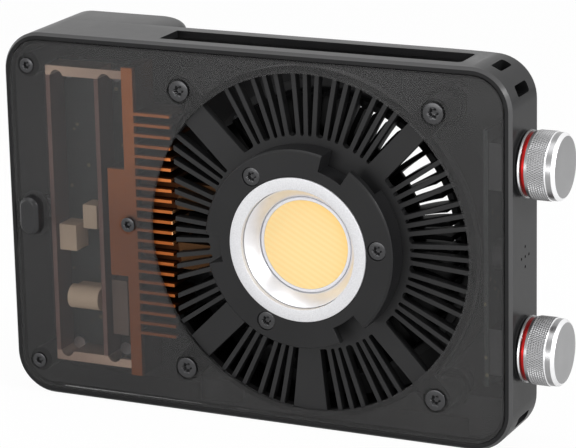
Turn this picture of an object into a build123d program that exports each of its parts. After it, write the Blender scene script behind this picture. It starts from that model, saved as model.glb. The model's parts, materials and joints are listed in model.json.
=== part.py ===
"""Pocket LED video light: a slab-shaped lamp with a round grille, a bayonet hub and two dials.

The object stands upright on its narrow bottom face. The origin is the mouth of the tripod
socket in that face, at half the depth of the slab. +X runs to the dials, +Y to the back and
+Z up. Depths are counted from the front rim towards the back, and places on the front are
counted from the middle of the front face: x to the right, z up. All sizes are millimetres.

The casing is sized from what it holds. Its width is the sum of the button's strip, the driver,
the copper comb, the fan and the dials' encoders, its height is the fan's duct with its walls,
and its depth is the stack from the front panel to the rear wall.
"""
from build123d import *
import math
import os

# ---------------------------------------------------------------- body
corner_radius = 10.7
side_wall = 1.8
rear_wall = 1.6
front_chamfer_width = 0.75
front_chamfer_depth = 1.1
rim_width = 1.62
groove_width = 0.35
ledge_width = 1.3
ledge_thickness = 1.4
touch_gap = 0.1
board_gap = 0.5

# ---------------------------------------------------------------- grip at the back left
grip_depth = 13.1
grip_width = 41.85
grip_wall = 1.8
grip_shoulder_radius = 10.5
grip_edge_radius = 2.0
grip_crown_length = 11.0
grip_crown_drop = 1.0

# ---------------------------------------------------------------- front panel and grille
panel_thickness = 1.2
opening_radius = 44.2
grille_thickness = 2.5
grille_ring_gap = 0.2
grille_lug_drop = 0.5
grille_ring_width = 1.6
grille_floor_margin = 2.0
wide_slot_extra = 0.4
fin_window_gap = 1.05
rib_width = 1.15
rib_step_angle = 4.3
rib_group_angle = 15.0
narrow_slot_round = 0.42
wide_slot_round = 0.85
wide_slot_reach = 1.9
top_spoke_places = [(46.8, 5.6), (135.4, 7.0)]
bottom_spoke_places = [(224.5, 7.0), (313.2, 5.0)]
bottom_wedge = (263.6, 275.7)
spoke_group_angles = [45.0, 135.0, 225.0, 270.0, 315.0]
open_rib_angle = 124.3
floor_bore_gap = 0.3

# ---------------------------------------------------------------- screws
large_screw_margin = 6.8
large_screw_angle = 46.67
large_head_radius = 2.7
large_head_height = 1.0
large_recess_radius = 3.3
large_recess_depth = 0.7
large_thread_radius = 1.5
large_thread_length = 9.0
small_head_radius = 1.95
small_head_height = 0.7
small_recess_radius = 2.45
small_recess_depth = 0.5
small_thread_radius = 1.1
small_thread_length = 7.0
hub_head_radius = 2.4
hub_head_height = 1.0
hub_head_sink = 0.15
hub_thread_radius = 1.25
drive_radius = 1.05
drive_depth = 0.6
thread_clearance = 0.02
post_wall = 2.1
post_inset_x = 6.95
post_inset_z = 8.85
comb_screw_inset = 1.1
comb_screw_bite = 3.5
guard_screw_radius = 0.9
driver_screw_radius = 0.9
driver_screw_bite = 4.0
driver_head_radius = 1.7
driver_head_height = 0.8
grip_screw_radius = 1.1
grip_head_radius = 1.95
grip_head_height = 1.0
grip_head_sink = 3.2
grip_screw_bite = 1.8
grip_screw_inset_x = 24.85
grip_screw_inset_z = 4.95

# ---------------------------------------------------------------- bayonet hub
hub_height = 5.3
hub_chamfer = 0.45
hub_bore_gap = 0.15
notch_margin = 2.9
notch_depth = 4.3
notch_angle = 18.0
notch_first_angle = 65.0
hub_screw_margin = 3.0
flange_thickness = 2.3
undercut_angle = 18.0
arms = 3

# ---------------------------------------------------------------- light engine
phosphor_radius = 11.65
phosphor_depth = -0.2
phosphor_thickness = 0.6
dam_width = 0.85
dam_rise = 0.2
dam_gap = 0.25
substrate_margin = 0.5
substrate_thickness = 1.0
reflector_flare = 1.95
reflector_wall = 0.5
reflector_flange = 0.8
reflector_top_drop = 0.35
trim_gap = 0.3
trim_width = 3.8
trim_proud = 0.3
trim_web = 1.2
trim_skirt_wall = 1.2

# ---------------------------------------------------------------- heat path
pedestal_margin = 0.9
cold_plate_margin = 2.2
cold_plate_thickness = 3.0
pipe_thickness = 2.5
pipe_width = 7.0
pipe_spacing = 16.0
pipe_right_reach = 14.0
pipe_base_margin = 2.95
spine_width = 3.2
spine_end_margin = 5.85
base_width = 5.0
fin_tip_gap = 1.1
fin_length = 10.4
fin_pitch = 2.816
fin_thickness = 0.8
fin_count = 22
comb_depth = 11.5

# ---------------------------------------------------------------- fan
scroll_margin = 0.8
scroll_wall = 1.4
scroll_gap = 1.05
scroll_start_angle = -147.0
scroll_end_angle = 48.0
scroll_ear_wall = 1.4
scroll_ear_height = 2.4
scroll_ear_lift = 5.0
impeller_margin = 6.7
impeller_front_gap = 0.8
impeller_height = 8.2
impeller_back_gap = 1.6
impeller_cup_radius = 15.0
impeller_cup_wall = 1.2
impeller_disc_radius = 28.0
impeller_disc_thickness = 1.0
impeller_ring_width = 1.1
blade_count = 61
blade_inner_radius = 24.0
blade_thickness = 1.3
blade_sweep_angle = 1.0
blade_bow = 0.35
guard_eye_margin = 3.5
guard_ring_width = 2.0
guard_flange_width = 3.6
guard_flange_thickness = 0.9
guard_hub_radius = 14.0
guard_bar_width = 1.3
guard_arms = 6
guard_rings = 1
guard_screw_count = 4
fan_shaft_radius = 1.0
fan_shaft_end_gap = 0.3
bearing_outer_radius = 2.2
bearing_length = 2.4
running_clearance = 0.05
tube_wall = 0.9
tube_end_gap = 0.5
magnet_thickness = 1.2
magnet_back_gap = 0.4
air_gap = 0.4
stator_core_radius = 5.0
stator_thickness = 3.6
stator_back_gap = 0.2
stator_pole_width = 2.4
stator_pole_angle = 48.0
stator_poles = 6
coil_thickness = 0.9
motor_board_radius = 12.0
motor_board_thickness = 0.8

# ---------------------------------------------------------------- driver electronics
board_thickness = 1.6
driver_board_depth = 10.0
driver_board_gap = 0.3
driver_board_overlap = 3.2
driver_board_margin = 0.2
driver_frame_lift = 1.4
driver_frame_gap = 1.0
driver_frame_width = 15.5
driver_frame_end_margin = 7.15
driver_rail_width = 1.2
driver_bar_height = 2.6
frame_spine_gap = 7.6
standoff_radius = 2.2
standoff_inset_x = 3.9
standoff_inset_z = 3.1
driver_window_half_height = 33.0
driver_window_inset = 1.5
transformer_radius = 3.2
transformer_length = 9.0
transformer_place = (0.45, -23.1)
transformer_core = 8.0
transformer_foot_margin = 1.0
film_capacitor_size = (4.1, 6.4)
film_capacitor_inset = 5.0
film_capacitor_z = -0.4
box_capacitor_size = (5.0, 7.0)
box_capacitor_inset = 4.2
box_capacitor_z = -6.4
component_height = 5.4
box_capacitor_height = 6.4
choke_size = (4.6, 15.0)
choke_offset = 3.1
choke_z = -24.5
bulk_capacitor_radius = 4.0
bulk_capacitor_length = 16.0
bulk_capacitor_count = 3
bulk_capacitor_pitch = 18.5
bulk_capacitor_inset = 24.35
tab_height = 2.2

# ---------------------------------------------------------------- inlet side
inlet_board_thickness = 1.0
inlet_board_length = 17.0
inlet_board_half_height = 18.0
jack_length = 13.0
jack_height = 11.0
jack_depth = 8.6
jack_bore_radius = 3.1
jack_bore_length = 9.5
jack_pin_radius = 1.0
jack_pin_start = 1.5
jack_z = 9.0
jack_mouth_radius = 3.9
usb_width = 8.94
usb_height = 3.26
usb_length = 7.6
usb_wall = 0.3
usb_floor = 1.0
usb_inset = 0.3
usb_z = -9.0
usb_clearance = 0.15
tongue_thickness = 0.7
tongue_margin = 1.2
display_inset_x = 18.85
display_inset_z = 18.25
display_width = 14.0
display_height = 10.0
display_corner = 1.2
display_window_thickness = 0.8
display_module_thickness = 2.0
display_margin = 1.0

# ---------------------------------------------------------------- dials and right side
dial_axis_offset = 0.35
dial_spacing = 47.8
dial_back_gap = 0.95
dial_lip_radius = 8.5
dial_lip_length = 0.65
dial_groove_radius = 8.0
dial_groove_length = 1.05
dial_ring_thickness = 0.9
dial_band_length = 0.8
dial_grip_radius = 8.65
dial_grip_length = 4.55
dial_nose_length = 1.85
dial_bevel_length = 0.65
dial_end_radius = 7.0
dial_recess_radius = 6.4
dial_recess_depth = 2.4
dial_shaft_radius = 3.0
dial_shaft_grip = 4.8
dial_seat_outer = 8.1
dial_seat_inner = 5.5
dial_seat_thickness = 0.25
dial_travel = 0.5
bush_radius = 3.5
bush_clearance = 0.1
bush_length = 2.6
nut_radius = 5.2
nut_thickness = 1.2
encoder_size = 12.0
encoder_length = 5.5
encoder_face = 1.6
encoder_cavity_radius = 3.7
plunger_radius = 3.5
plunger_thickness = 1.2
plunger_gap = 0.1
plunger_over_travel = 0.3
control_board_gap = 0.45
control_board_thickness = 1.2
control_board_end_margin = 16.25
control_board_margin = 0.8
buzzer_radius = 4.0
buzzer_length = 4.4
pinhole_radius = 0.4
pinhole_pitch = 2.6

# ---------------------------------------------------------------- strap eyelets and vent
eyelet_outer_angle = 16.0
eyelet_first_angle = 15.0
eyelet_last_angle = 73.0
eyelet_width = 7.6
eyelet_bar_thickness = 2.4
eyelet_tunnel_inner = 4.4
eyelet_block_wall = 1.5
eyelet_corner = 0.8
vent_left_reach = 42.5
vent_right_reach = 40.5
vent_front = 4.8
vent_back_margin = 3.9
vent_corner = 1.3

# ---------------------------------------------------------------- release button
button_inset = 6.85
button_width = 5.6
button_height = 10.4
button_proud = 2.6
button_bevel = 0.8
button_clearance = 0.15
button_flange_margin = 1.0
button_flange_gap = 0.2
button_flange_thickness = 1.0
button_stem_radius = 1.5
button_travel = 1.5
button_guide_radius = 3.2
button_guide_top = 8.4
button_end_gap = 0.6
clip_radius = 2.5
clip_thickness = 0.5
clip_inset = 1.2
clip_groove_depth = 0.4
clip_mouth = 1.8
spring_wire_radius = 0.22
spring_radius = 2.35
spring_turns = 4
spring_end_gap = 0.05

# ---------------------------------------------------------------- tripod socket
socket_radius = 3.175
socket_depth = 6.5
socket_offset = 14.0
insert_radius = 4.9
insert_flange_radius = 5.6
insert_flange_height = 1.0
insert_floor = 1.0
insert_boss_wall = 1.0

# ---------------------------------------------------------------- light engine and hub, worked out
dam_radius = phosphor_radius + dam_width
reflector_bottom_radius = dam_radius + dam_gap
reflector_top_radius = reflector_bottom_radius + reflector_flare
trim_inner_radius = reflector_top_radius + trim_gap
trim_outer_radius = trim_inner_radius + trim_width
hub_bore_radius = trim_outer_radius + hub_bore_gap
hub_screw_circle = trim_outer_radius + hub_screw_margin
notch_inner_radius = trim_outer_radius + notch_margin
hub_radius = notch_inner_radius + notch_depth
substrate_size = 2 * (dam_radius + substrate_margin)
pedestal_radius = trim_outer_radius + pedestal_margin
cold_plate_radius = hub_screw_circle + cold_plate_margin
substrate_front = phosphor_depth + phosphor_thickness
substrate_back = substrate_front + substrate_thickness
notch_angles = [notch_first_angle + arm * 360 / arms for arm in range(arms)]
hub_screw_angles = [angle + 180 / arms for angle in notch_angles]
hub_head_top = -hub_height + hub_head_sink
hub_head_seat = hub_head_top + hub_head_height
reflector_seat = substrate_front - reflector_flange

# ---------------------------------------------------------------- depths, worked out
panel_back = panel_thickness
grille_back = panel_back + grille_thickness
grille_lug_back = grille_back - grille_lug_drop
ledge_back = panel_back + ledge_thickness
cold_plate_back = grille_back + cold_plate_thickness
pipe_front = cold_plate_back - pipe_thickness
impeller_front_depth = cold_plate_back + impeller_front_gap
impeller_back_depth = impeller_front_depth + impeller_height
rear_wall_front = impeller_back_depth + impeller_back_gap
slab_depth = rear_wall_front + rear_wall
front_y = -slab_depth / 2
grip_back = slab_depth + grip_depth
grip_cavity_back = grip_back - grip_wall
side_axis_depth = slab_depth / 2 + dial_axis_offset
comb_front = panel_back + touch_gap
comb_back = comb_front + comb_depth
driver_frame_front = panel_back + driver_frame_lift
hub_screw_end = cold_plate_back - board_gap
large_screw_end = large_recess_depth + large_thread_length
comb_screw_end = comb_back + comb_screw_bite
driver_screw_end = driver_board_depth + board_thickness + driver_screw_bite
grip_head_seat = grip_back - grip_head_sink

# ---------------------------------------------------------------- widths and heights, worked out
impeller_radius = opening_radius - impeller_margin
scroll_radius = opening_radius + scroll_margin
grille_ring_inner = opening_radius + grille_ring_gap
grille_ring_outer = grille_ring_inner + grille_ring_width
grille_slot_inner = hub_radius + grille_floor_margin
grille_wide_slot_inner = grille_slot_inner - wide_slot_extra
floor_bore_radius = pedestal_radius + floor_bore_gap
button_strip = button_inset + button_guide_radius + driver_frame_gap
driver_strip = driver_frame_width + frame_spine_gap
comb_strip = spine_width + fin_length + fin_tip_gap
fan_strip = impeller_radius + scroll_radius + scroll_wall
dial_strip = control_board_gap + control_board_thickness + encoder_length + side_wall
housing_width = button_strip + driver_strip + comb_strip + fan_strip + dial_strip
housing_height = 2 * (scroll_radius + scroll_wall + scroll_gap + side_wall)
half_width = housing_width / 2
half_height = housing_height / 2
cavity_half_width = half_width - side_wall
cavity_half_height = half_height - side_wall
button_x = -half_width + button_inset
driver_board_left = button_x + button_guide_radius + driver_board_gap
driver_frame_left = -half_width + button_strip
driver_frame_right = driver_frame_left + driver_frame_width
driver_frame_middle = (driver_frame_left + driver_frame_right) / 2
spine_left = driver_frame_right + frame_spine_gap
spine_right = spine_left + spine_width
base_left = spine_left - base_width
fin_tip_x = spine_right + fin_length
fan_x = fin_tip_x + fin_tip_gap + impeller_radius
grille_cut_x = fin_tip_x + fin_window_gap
driver_board_right = base_left + driver_board_overlap
driver_frame_half_height = cavity_half_height - driver_frame_end_margin
driver_board_half_height = driver_frame_half_height + driver_board_margin
spine_half_height = cavity_half_height - spine_end_margin
base_half_height = pipe_spacing / 2 + pipe_width / 2 + pipe_base_margin
control_board_right = cavity_half_width - encoder_length
control_board_half_height = half_height - control_board_end_margin
vent_left = fan_x - vent_left_reach
vent_right = fan_x + vent_right_reach
vent_back = slab_depth - vent_back_margin
grip_right = -half_width + grip_width
display_x = -half_width + display_inset_x
display_z = half_height - display_inset_z
bulk_capacitor_x = -half_width + bulk_capacitor_inset
stator_radius = impeller_cup_radius - impeller_cup_wall - magnet_thickness - air_gap
guard_eye_radius = impeller_radius - guard_eye_margin
guard_outer_radius = guard_eye_radius + guard_ring_width
guard_screw_circle = guard_outer_radius + guard_flange_width / 2
post_radius = large_thread_radius + post_wall
left_post_radius = small_thread_radius + post_wall

# ---------------------------------------------------------------- places of screws and dials, worked out
large_screw_x = (opening_radius + large_screw_margin) * math.cos(math.radians(large_screw_angle))
large_screw_z = (opening_radius + large_screw_margin) * math.sin(math.radians(large_screw_angle))
large_screw_places = [
    (fan_x + side * large_screw_x, end * large_screw_z) for side in (-1, 1) for end in (-1, 1)
]
left_posts = [(-half_width + post_inset_x, end * (half_height - post_inset_z)) for end in (-1, 1)]
comb_screw_x = spine_left + comb_screw_inset
small_screw_places = left_posts + [(comb_screw_x, 0.0)]
standoff_places = [
    (x, end * (driver_board_half_height - standoff_inset_z))
    for x in (driver_board_left + standoff_inset_x, driver_board_right - standoff_inset_x)
    for end in (-1, 1)
]
grip_right_places = [
    (-half_width + grip_screw_inset_x, end * (half_height - grip_screw_inset_z)) for end in (-1, 1)
]
grip_screw_places = left_posts + grip_right_places
dial_z = [end * dial_spacing / 2 for end in (-1, 1)]
dial_names = ["lower", "upper"]

# ---------------------------------------------------------------- running gear, worked out
tube_front = impeller_front_depth + impeller_cup_wall + tube_end_gap
shaft_back = rear_wall_front - fan_shaft_end_gap
stator_back = rear_wall_front - motor_board_thickness - coil_thickness - stator_back_gap
stator_front = stator_back - stator_thickness
jack_centre = grip_cavity_back - inlet_board_thickness - jack_depth / 2
usb_centre = grip_cavity_back - inlet_board_thickness - usb_height / 2
plunger_seat = cavity_half_width - encoder_face
plunger_stop = plunger_seat - plunger_gap - plunger_thickness - dial_travel - plunger_over_travel
shaft_end = half_width + dial_back_gap + dial_recess_depth + dial_shaft_grip
button_flange_front = panel_back + button_flange_gap
stem_end = slab_depth - button_travel - button_end_gap
clip_front = stem_end - clip_inset
clip_pocket_front = clip_front - touch_gap
clip_groove_radius = button_stem_radius - clip_groove_depth


# ---------------------------------------------------------------- helpers
def front_plane(depth):
    """Plane parallel to the front at a depth, with x to the right and y up on it."""
    origin = (socket_offset, front_y + depth, half_height)
    return Plane(origin=origin, x_dir=(1, 0, 0), z_dir=(0, -1, 0))


def prism(sketch, front, back):
    """Solid between two depths with the same outline."""
    return extrude(front_plane(back) * sketch, back - front)


def side_frame(x, depth, z):
    """Local frame on the right side with its z axis along +X."""
    origin = (socket_offset + x, front_y + depth, half_height + z)
    return Plane(origin=origin, x_dir=(0, 1, 0), z_dir=(1, 0, 0)).location


def tube_x(radius, x_start, x_end, depth, z):
    """Cylinder along X between two x places."""
    solid = Cylinder(radius, x_end - x_start, align=(Align.CENTER, Align.CENTER, Align.MIN))
    return side_frame(x_start, depth, z) * solid


def disc(radius, x=fan_x, z=0.0):
    """Circle on the front, at a place."""
    return Pos(x, z) * Circle(radius)


def ring(outer, inner, x=fan_x, z=0.0):
    """Flat ring on the front, at a place."""
    return disc(outer, x, z) - disc(inner, x, z)


def block(x_left, x_right, z_low, z_high):
    """Rectangle on the front from its edges."""
    centre = Pos((x_left + x_right) / 2, (z_low + z_high) / 2)
    return centre * Rectangle(x_right - x_left, z_high - z_low)


def polar(radius, angle, x=fan_x, z=0.0):
    """Point on the front at a radius and an angle in degrees from +x."""
    turn = math.radians(angle)
    return (x + radius * math.cos(turn), z + radius * math.sin(turn))


def sector(inner, outer, start, end, x=fan_x, z=0.0):
    """Piece of a flat ring between two angles."""
    arc_out = CenterArc((x, z), outer, start, end - start)
    arc_in = CenterArc((x, z), inner, start, end - start)
    first = Line(arc_in @ 0, arc_out @ 0)
    last = Line(arc_in @ 1, arc_out @ 1)
    return make_face([first, arc_out, last, arc_in])


def bar(width, inner, outer, angle, x=fan_x, z=0.0):
    """Radial bar of constant width on the front."""
    strip = Pos((inner + outer) / 2, 0) * Rectangle(outer - inner, width)
    return Pos(x, z) * Rot(0, 0, angle) * strip


def outline(margin):
    """Rounded outline of the body, drawn in by a margin."""
    return RectangleRounded(
        housing_width - 2 * margin, housing_height - 2 * margin, corner_radius - margin
    )


def revolved(points, x=fan_x, z=0.0):
    """Solid of revolution about a Y axis from (radius, depth) corners."""
    profile = Plane.XZ * make_face(Polyline(points, close=True))
    turned = revolve(profile, Axis.Z)
    upright = Plane(
        origin=(socket_offset + x, front_y, half_height + z), x_dir=(1, 0, 0), z_dir=(0, 1, 0)
    )
    return upright.location * turned


def merged(shapes):
    """One shape from a list of shapes."""
    whole = shapes[0]
    for shape in shapes[1:]:
        whole += shape
    return whole


def group(solids):
    """Several separate solids kept in one node."""
    return Compound(children=[solid for shape in solids for solid in shape.solids()])


def save(shape, name):
    """Write one node."""
    export_step(shape, "parts/" + name + ".step")


# ---------------------------------------------------------------- casings
def chamfered_slab():
    """Outer slab with the chamfer around its front edge."""
    straight = prism(outline(0), front_chamfer_depth, slab_depth)
    front = front_plane(0) * outline(front_chamfer_width)
    middle = front_plane(front_chamfer_depth) * outline(0)
    return straight + loft([front, middle])


def mouth_corners(tunnel, inner, outer):
    """Straight edges of an eyelet tunnel that run outwards at least from one radius to another."""
    return [
        edge for edge in tunnel.edges()
        if edge.geom_type == GeomType.LINE and edge.length > outer - inner - 0.01
        and edge.tangent_at(0).cross(Vector(0, 1, 0)).length > 0.99
    ]


def eyelet_blocks(end):
    """Solid corner that carries a strap eyelet, and the tunnel cut out of it."""
    centre_x = half_width - corner_radius
    centre_z = half_height - corner_radius
    front = side_axis_depth - eyelet_width / 2
    back = side_axis_depth + eyelet_width / 2
    wall_inner = corner_radius - eyelet_bar_thickness
    inner = eyelet_tunnel_inner
    low = eyelet_tunnel_inner - eyelet_block_wall
    body_sketch = outline(side_wall / 2) & block(
        centre_x + low - corner_radius / 2, half_width, centre_z + low - corner_radius / 2, half_height
    )
    tunnel = sector(inner, wall_inner, eyelet_first_angle, eyelet_last_angle, centre_x, centre_z)
    first_end = eyelet_first_angle + eyelet_outer_angle
    last_start = eyelet_last_angle - eyelet_outer_angle
    beyond = corner_radius + 1
    tunnel += sector(inner, beyond, eyelet_first_angle, first_end, centre_x, centre_z)
    tunnel += sector(inner, beyond, last_start, eyelet_last_angle, centre_x, centre_z)
    if end < 0:
        body_sketch = mirror(body_sketch, Plane.XZ)
        tunnel = mirror(tunnel, Plane.XZ)
    body = prism(body_sketch, front - eyelet_block_wall, back + eyelet_block_wall)
    return body, fillet(mouth_corners(prism(tunnel, front, back), wall_inner, beyond), eyelet_corner)


def vent_cut():
    """Air outlet in the top face, square at its left end and rounded at its right end."""
    top = socket_offset, front_y, housing_height + 1
    plane = Plane(origin=top, x_dir=(1, 0, 0), z_dir=(0, 0, 1))
    length = vent_right - vent_left
    width = vent_back - vent_front
    slot = Pos((vent_left + vent_right) / 2, (vent_front + vent_back) / 2) * Rectangle(length, width)
    right_corners = slot.vertices().group_by(Axis.X)[-1]
    return extrude(plane * fillet(right_corners, vent_corner), -(side_wall + 2))


def pinholes():
    """Five small sound holes in a plus pattern between the dials."""
    places = [(0, 0), (pinhole_pitch, 0), (-pinhole_pitch, 0), (0, pinhole_pitch), (0, -pinhole_pitch)]
    return merged([
        tube_x(pinhole_radius, cavity_half_width - 1, half_width + 1, side_axis_depth + dy, dz)
        for dy, dz in places
    ])


def main_housing():
    """Slab casing, open at the front, with its posts, bosses, eyelets, vent and bores."""
    body = chamfered_slab()
    body -= prism(outline(rim_width), -1, panel_back)
    body -= prism(outline(rim_width + ledge_width), panel_back, ledge_back)
    body -= prism(outline(side_wall), ledge_back, rear_wall_front)
    eyelets = [eyelet_blocks(end) for end in (-1, 1)]
    body += merged([solid for solid, tunnel in eyelets])
    body += merged([
        prism(disc(post_radius, x, z), grille_lug_back, rear_wall_front)
        for x, z in large_screw_places
    ])
    body += merged([
        prism(disc(left_post_radius, x, z), panel_back, rear_wall_front) for x, z in left_posts
    ])
    body += prism(disc(left_post_radius, comb_screw_x, 0), comb_back, rear_wall_front)
    body += merged([
        prism(disc(standoff_radius, x, z), driver_board_depth + board_thickness, rear_wall_front)
        for x, z in standoff_places
    ])
    body += prism(disc(button_guide_radius, button_x, 0), button_guide_top, rear_wall_front)
    body += tripod_boss()
    body -= merged([tunnel for solid, tunnel in eyelets])
    body -= merged([
        prism(disc(large_thread_radius + thread_clearance, x, z), -1, large_screw_end)
        for x, z in large_screw_places
    ])
    body -= merged([
        prism(disc(small_thread_radius + thread_clearance, x, z), -1, slab_depth + 1)
        for x, z in left_posts
    ])
    body -= prism(disc(small_thread_radius + thread_clearance, comb_screw_x, 0), 0, comb_screw_end)
    body -= merged([
        prism(disc(driver_screw_radius + thread_clearance, x, z), 0, driver_screw_end)
        for x, z in standoff_places
    ])
    body -= merged([
        prism(disc(grip_screw_radius + thread_clearance, x, z), 0, slab_depth + 1)
        for x, z in grip_right_places
    ])
    body -= prism(disc(button_stem_radius + button_clearance, button_x, 0), 0, slab_depth + 1)
    body -= prism(disc(clip_radius + touch_gap, button_x, 0), clip_pocket_front, slab_depth + 1)
    body -= prism(disc(guard_outer_radius + touch_gap), 0, slab_depth + 1)
    body -= merged([
        prism(disc(guard_screw_radius + thread_clearance, x, z), 0, slab_depth + 1)
        for x, z in guard_screw_places()
    ])
    window = block(
        driver_board_left + driver_window_inset,
        driver_board_right - driver_window_inset,
        -driver_window_half_height,
        driver_window_half_height,
    )
    body -= prism(window, rear_wall_front - 1, slab_depth + 1)
    body -= vent_cut()
    body -= pinholes()
    body -= merged([
        tube_x(bush_radius + bush_clearance, cavity_half_width - 1, half_width + 1, side_axis_depth, z)
        for z in dial_z
    ])
    body -= tripod_pocket()
    return body


def tripod_boss():
    """Boss over the tripod insert, standing on the bottom wall."""
    height = socket_depth + insert_floor + insert_boss_wall
    boss = Cylinder(
        insert_radius + insert_boss_wall, height, align=(Align.CENTER, Align.CENTER, Align.MIN)
    )
    room = 2 * (slab_depth / 2 - rear_wall)
    return boss & Pos(0, 0, height / 2) * Box(4 * insert_radius, room, height)


def tripod_pocket():
    """Pocket that the insert fills, with the wider seat of its flange."""
    base = (Align.CENTER, Align.CENTER, Align.MIN)
    body = Cylinder(insert_radius, socket_depth + insert_floor, align=base)
    return body + Cylinder(insert_flange_radius, insert_flange_height, align=base)


def tripod_insert():
    """Brass insert with the tripod thread, flush with the bottom face."""
    base = (Align.CENTER, Align.CENTER, Align.MIN)
    return tripod_pocket() - Cylinder(socket_radius, socket_depth, align=base)


def grip_outline(margin):
    """Plan of the grip seen from above: square at the left, a round shoulder at the right."""
    left = -half_width + margin
    right = grip_right - margin
    front = slab_depth
    back = grip_back - margin
    shoulder = grip_shoulder_radius - margin
    start = (right, back - shoulder)
    finish = (right - shoulder, back)
    base = Line((left, front), (right, front))
    wall = Line((right, front), start)
    turn = RadiusArc(start, finish, -shoulder)
    edge = Line(finish, (left, back))
    side = Line((left, back), (left, front))
    return make_face([base, wall, turn, edge, side])


def grip_front(margin):
    """Front view of the grip: flat ends that fall away gently towards the right."""
    top = half_height - margin
    right = grip_right - margin
    crown = grip_right - grip_crown_length
    radius = (grip_crown_length**2 + grip_crown_drop**2) / (2 * grip_crown_drop)
    upper = RadiusArc((crown, top), (right, top - grip_crown_drop), radius)
    lower = RadiusArc((right, grip_crown_drop - top), (crown, -top), radius)
    left = -half_width
    return make_face([
        Line((left, top), (crown, top)),
        upper,
        Line((right, top - grip_crown_drop), (right, grip_crown_drop - top)),
        lower,
        Line((crown, -top), (left, -top)),
        Line((left, -top), (left, top)),
    ])


def grip_solid(margin):
    """Grip body with rounded ends towards the housing's corners."""
    plane = Plane(origin=(socket_offset, front_y, margin), x_dir=(1, 0, 0), z_dir=(0, 0, 1))
    solid = extrude(plane * grip_outline(margin), housing_height - 2 * margin)
    corners = prism(outline(margin), slab_depth, grip_back)
    return solid & corners & prism(grip_front(margin), slab_depth, grip_back)


def grip_shell():
    """Rear shell over the driver, with its screw posts, port cut-outs and display recess."""
    outer = grip_solid(0)
    back_edges = outer.edges().filter_by(Axis.Z).filter_by_position(
        Axis.Y, front_y + grip_back - 0.1, front_y + grip_back + 0.1
    )
    far_left = back_edges.filter_by_position(
        Axis.X, socket_offset - half_width - 0.1, socket_offset - half_width + 0.1
    )
    outer = fillet(far_left, grip_edge_radius)
    shell = outer - grip_solid(grip_wall)
    posts = merged([
        prism(disc(grip_screw_radius + post_wall, x, z), slab_depth, grip_cavity_back + 0.5)
        for x, z in grip_screw_places
    ])
    shell += posts & outer
    for x, z in grip_screw_places:
        shell -= prism(disc(grip_screw_radius + thread_clearance, x, z), 0, grip_back + 1)
        shell -= prism(disc(grip_head_radius + touch_gap, x, z), grip_head_seat, grip_back + 1)
    mouth = tube_x(jack_mouth_radius, -half_width - 1, -half_width + grip_wall + 1, jack_centre, jack_z)
    shell -= mouth
    shell -= usb_outline(usb_clearance, -half_width - 1, -half_width + grip_wall + 1)
    shell -= prism(display_sketch(0), grip_back - display_window_thickness, grip_back + 1)
    shell -= prism(display_sketch(display_margin), grip_cavity_back - 1, grip_back)
    return shell


def front_panel():
    """Smoked cover panel with the round opening, screw recesses and button hole."""
    panel = prism(outline(rim_width + groove_width), 0, panel_back)
    panel -= prism(disc(opening_radius), -1, panel_back + 1)
    for x, z in large_screw_places:
        panel -= prism(disc(large_recess_radius, x, z), -1, large_recess_depth)
        panel -= prism(disc(large_thread_radius + touch_gap, x, z), -1, panel_back + 1)
    for x, z in small_screw_places:
        panel -= prism(disc(small_recess_radius, x, z), -1, small_recess_depth)
        panel -= prism(disc(small_thread_radius + touch_gap, x, z), -1, panel_back + 1)
    return panel - prism(button_sketch(button_clearance), -1, panel_back + 1)


# ---------------------------------------------------------------- grille and hub
def rib_angles():
    """Angles of the ribs: groups of three, left out where a spoke takes their place."""
    steps = int(round(360 / rib_group_angle))
    groups = [rib_group_angle * step for step in range(steps)]
    ribs = [
        middle + offset
        for middle in groups
        if middle not in spoke_group_angles
        for offset in (-rib_step_angle, 0.0, rib_step_angle)
    ]
    return [angle for angle in ribs if abs(angle - open_rib_angle) > rib_step_angle / 2]


def slot_corners(face):
    """Pairs of corners at the inner ends of the slots, with the length between them."""
    def turn(corner):
        return math.atan2(corner.Y, corner.X - fan_x)

    def at_root(corner):
        return abs(math.hypot(corner.X - fan_x, corner.Y) - grille_slot_inner) < 0.01

    roots = sorted(filter(at_root, face.vertices()), key=turn)
    pairs = []
    for first, second in zip(roots, roots[1:] + roots[:1]):
        middle = (Vector(*first) + Vector(*second)) / 2 - Vector(fan_x, 0)
        outside = Vector(fan_x, 0) + middle.normalized() * (grille_slot_inner + rib_width / 2)
        if not face.is_inside(outside):
            pairs.append((first, second, (Vector(*first) - Vector(*second)).length))
    return pairs


def rounded_slots(face):
    """Face with the inner corners of its narrow slots, then of its wide slots, rounded off."""
    for smallest, largest, radius in (
        (0.0, wide_slot_reach, narrow_slot_round),
        (wide_slot_reach, 4 * wide_slot_reach, wide_slot_round),
    ):
        pairs = [pair for pair in slot_corners(face) if smallest < pair[2] <= largest]
        corners = [corner for pair in pairs for corner in pair[:2]]
        face = face.fillet_2d(radius, corners)
    return face


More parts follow.
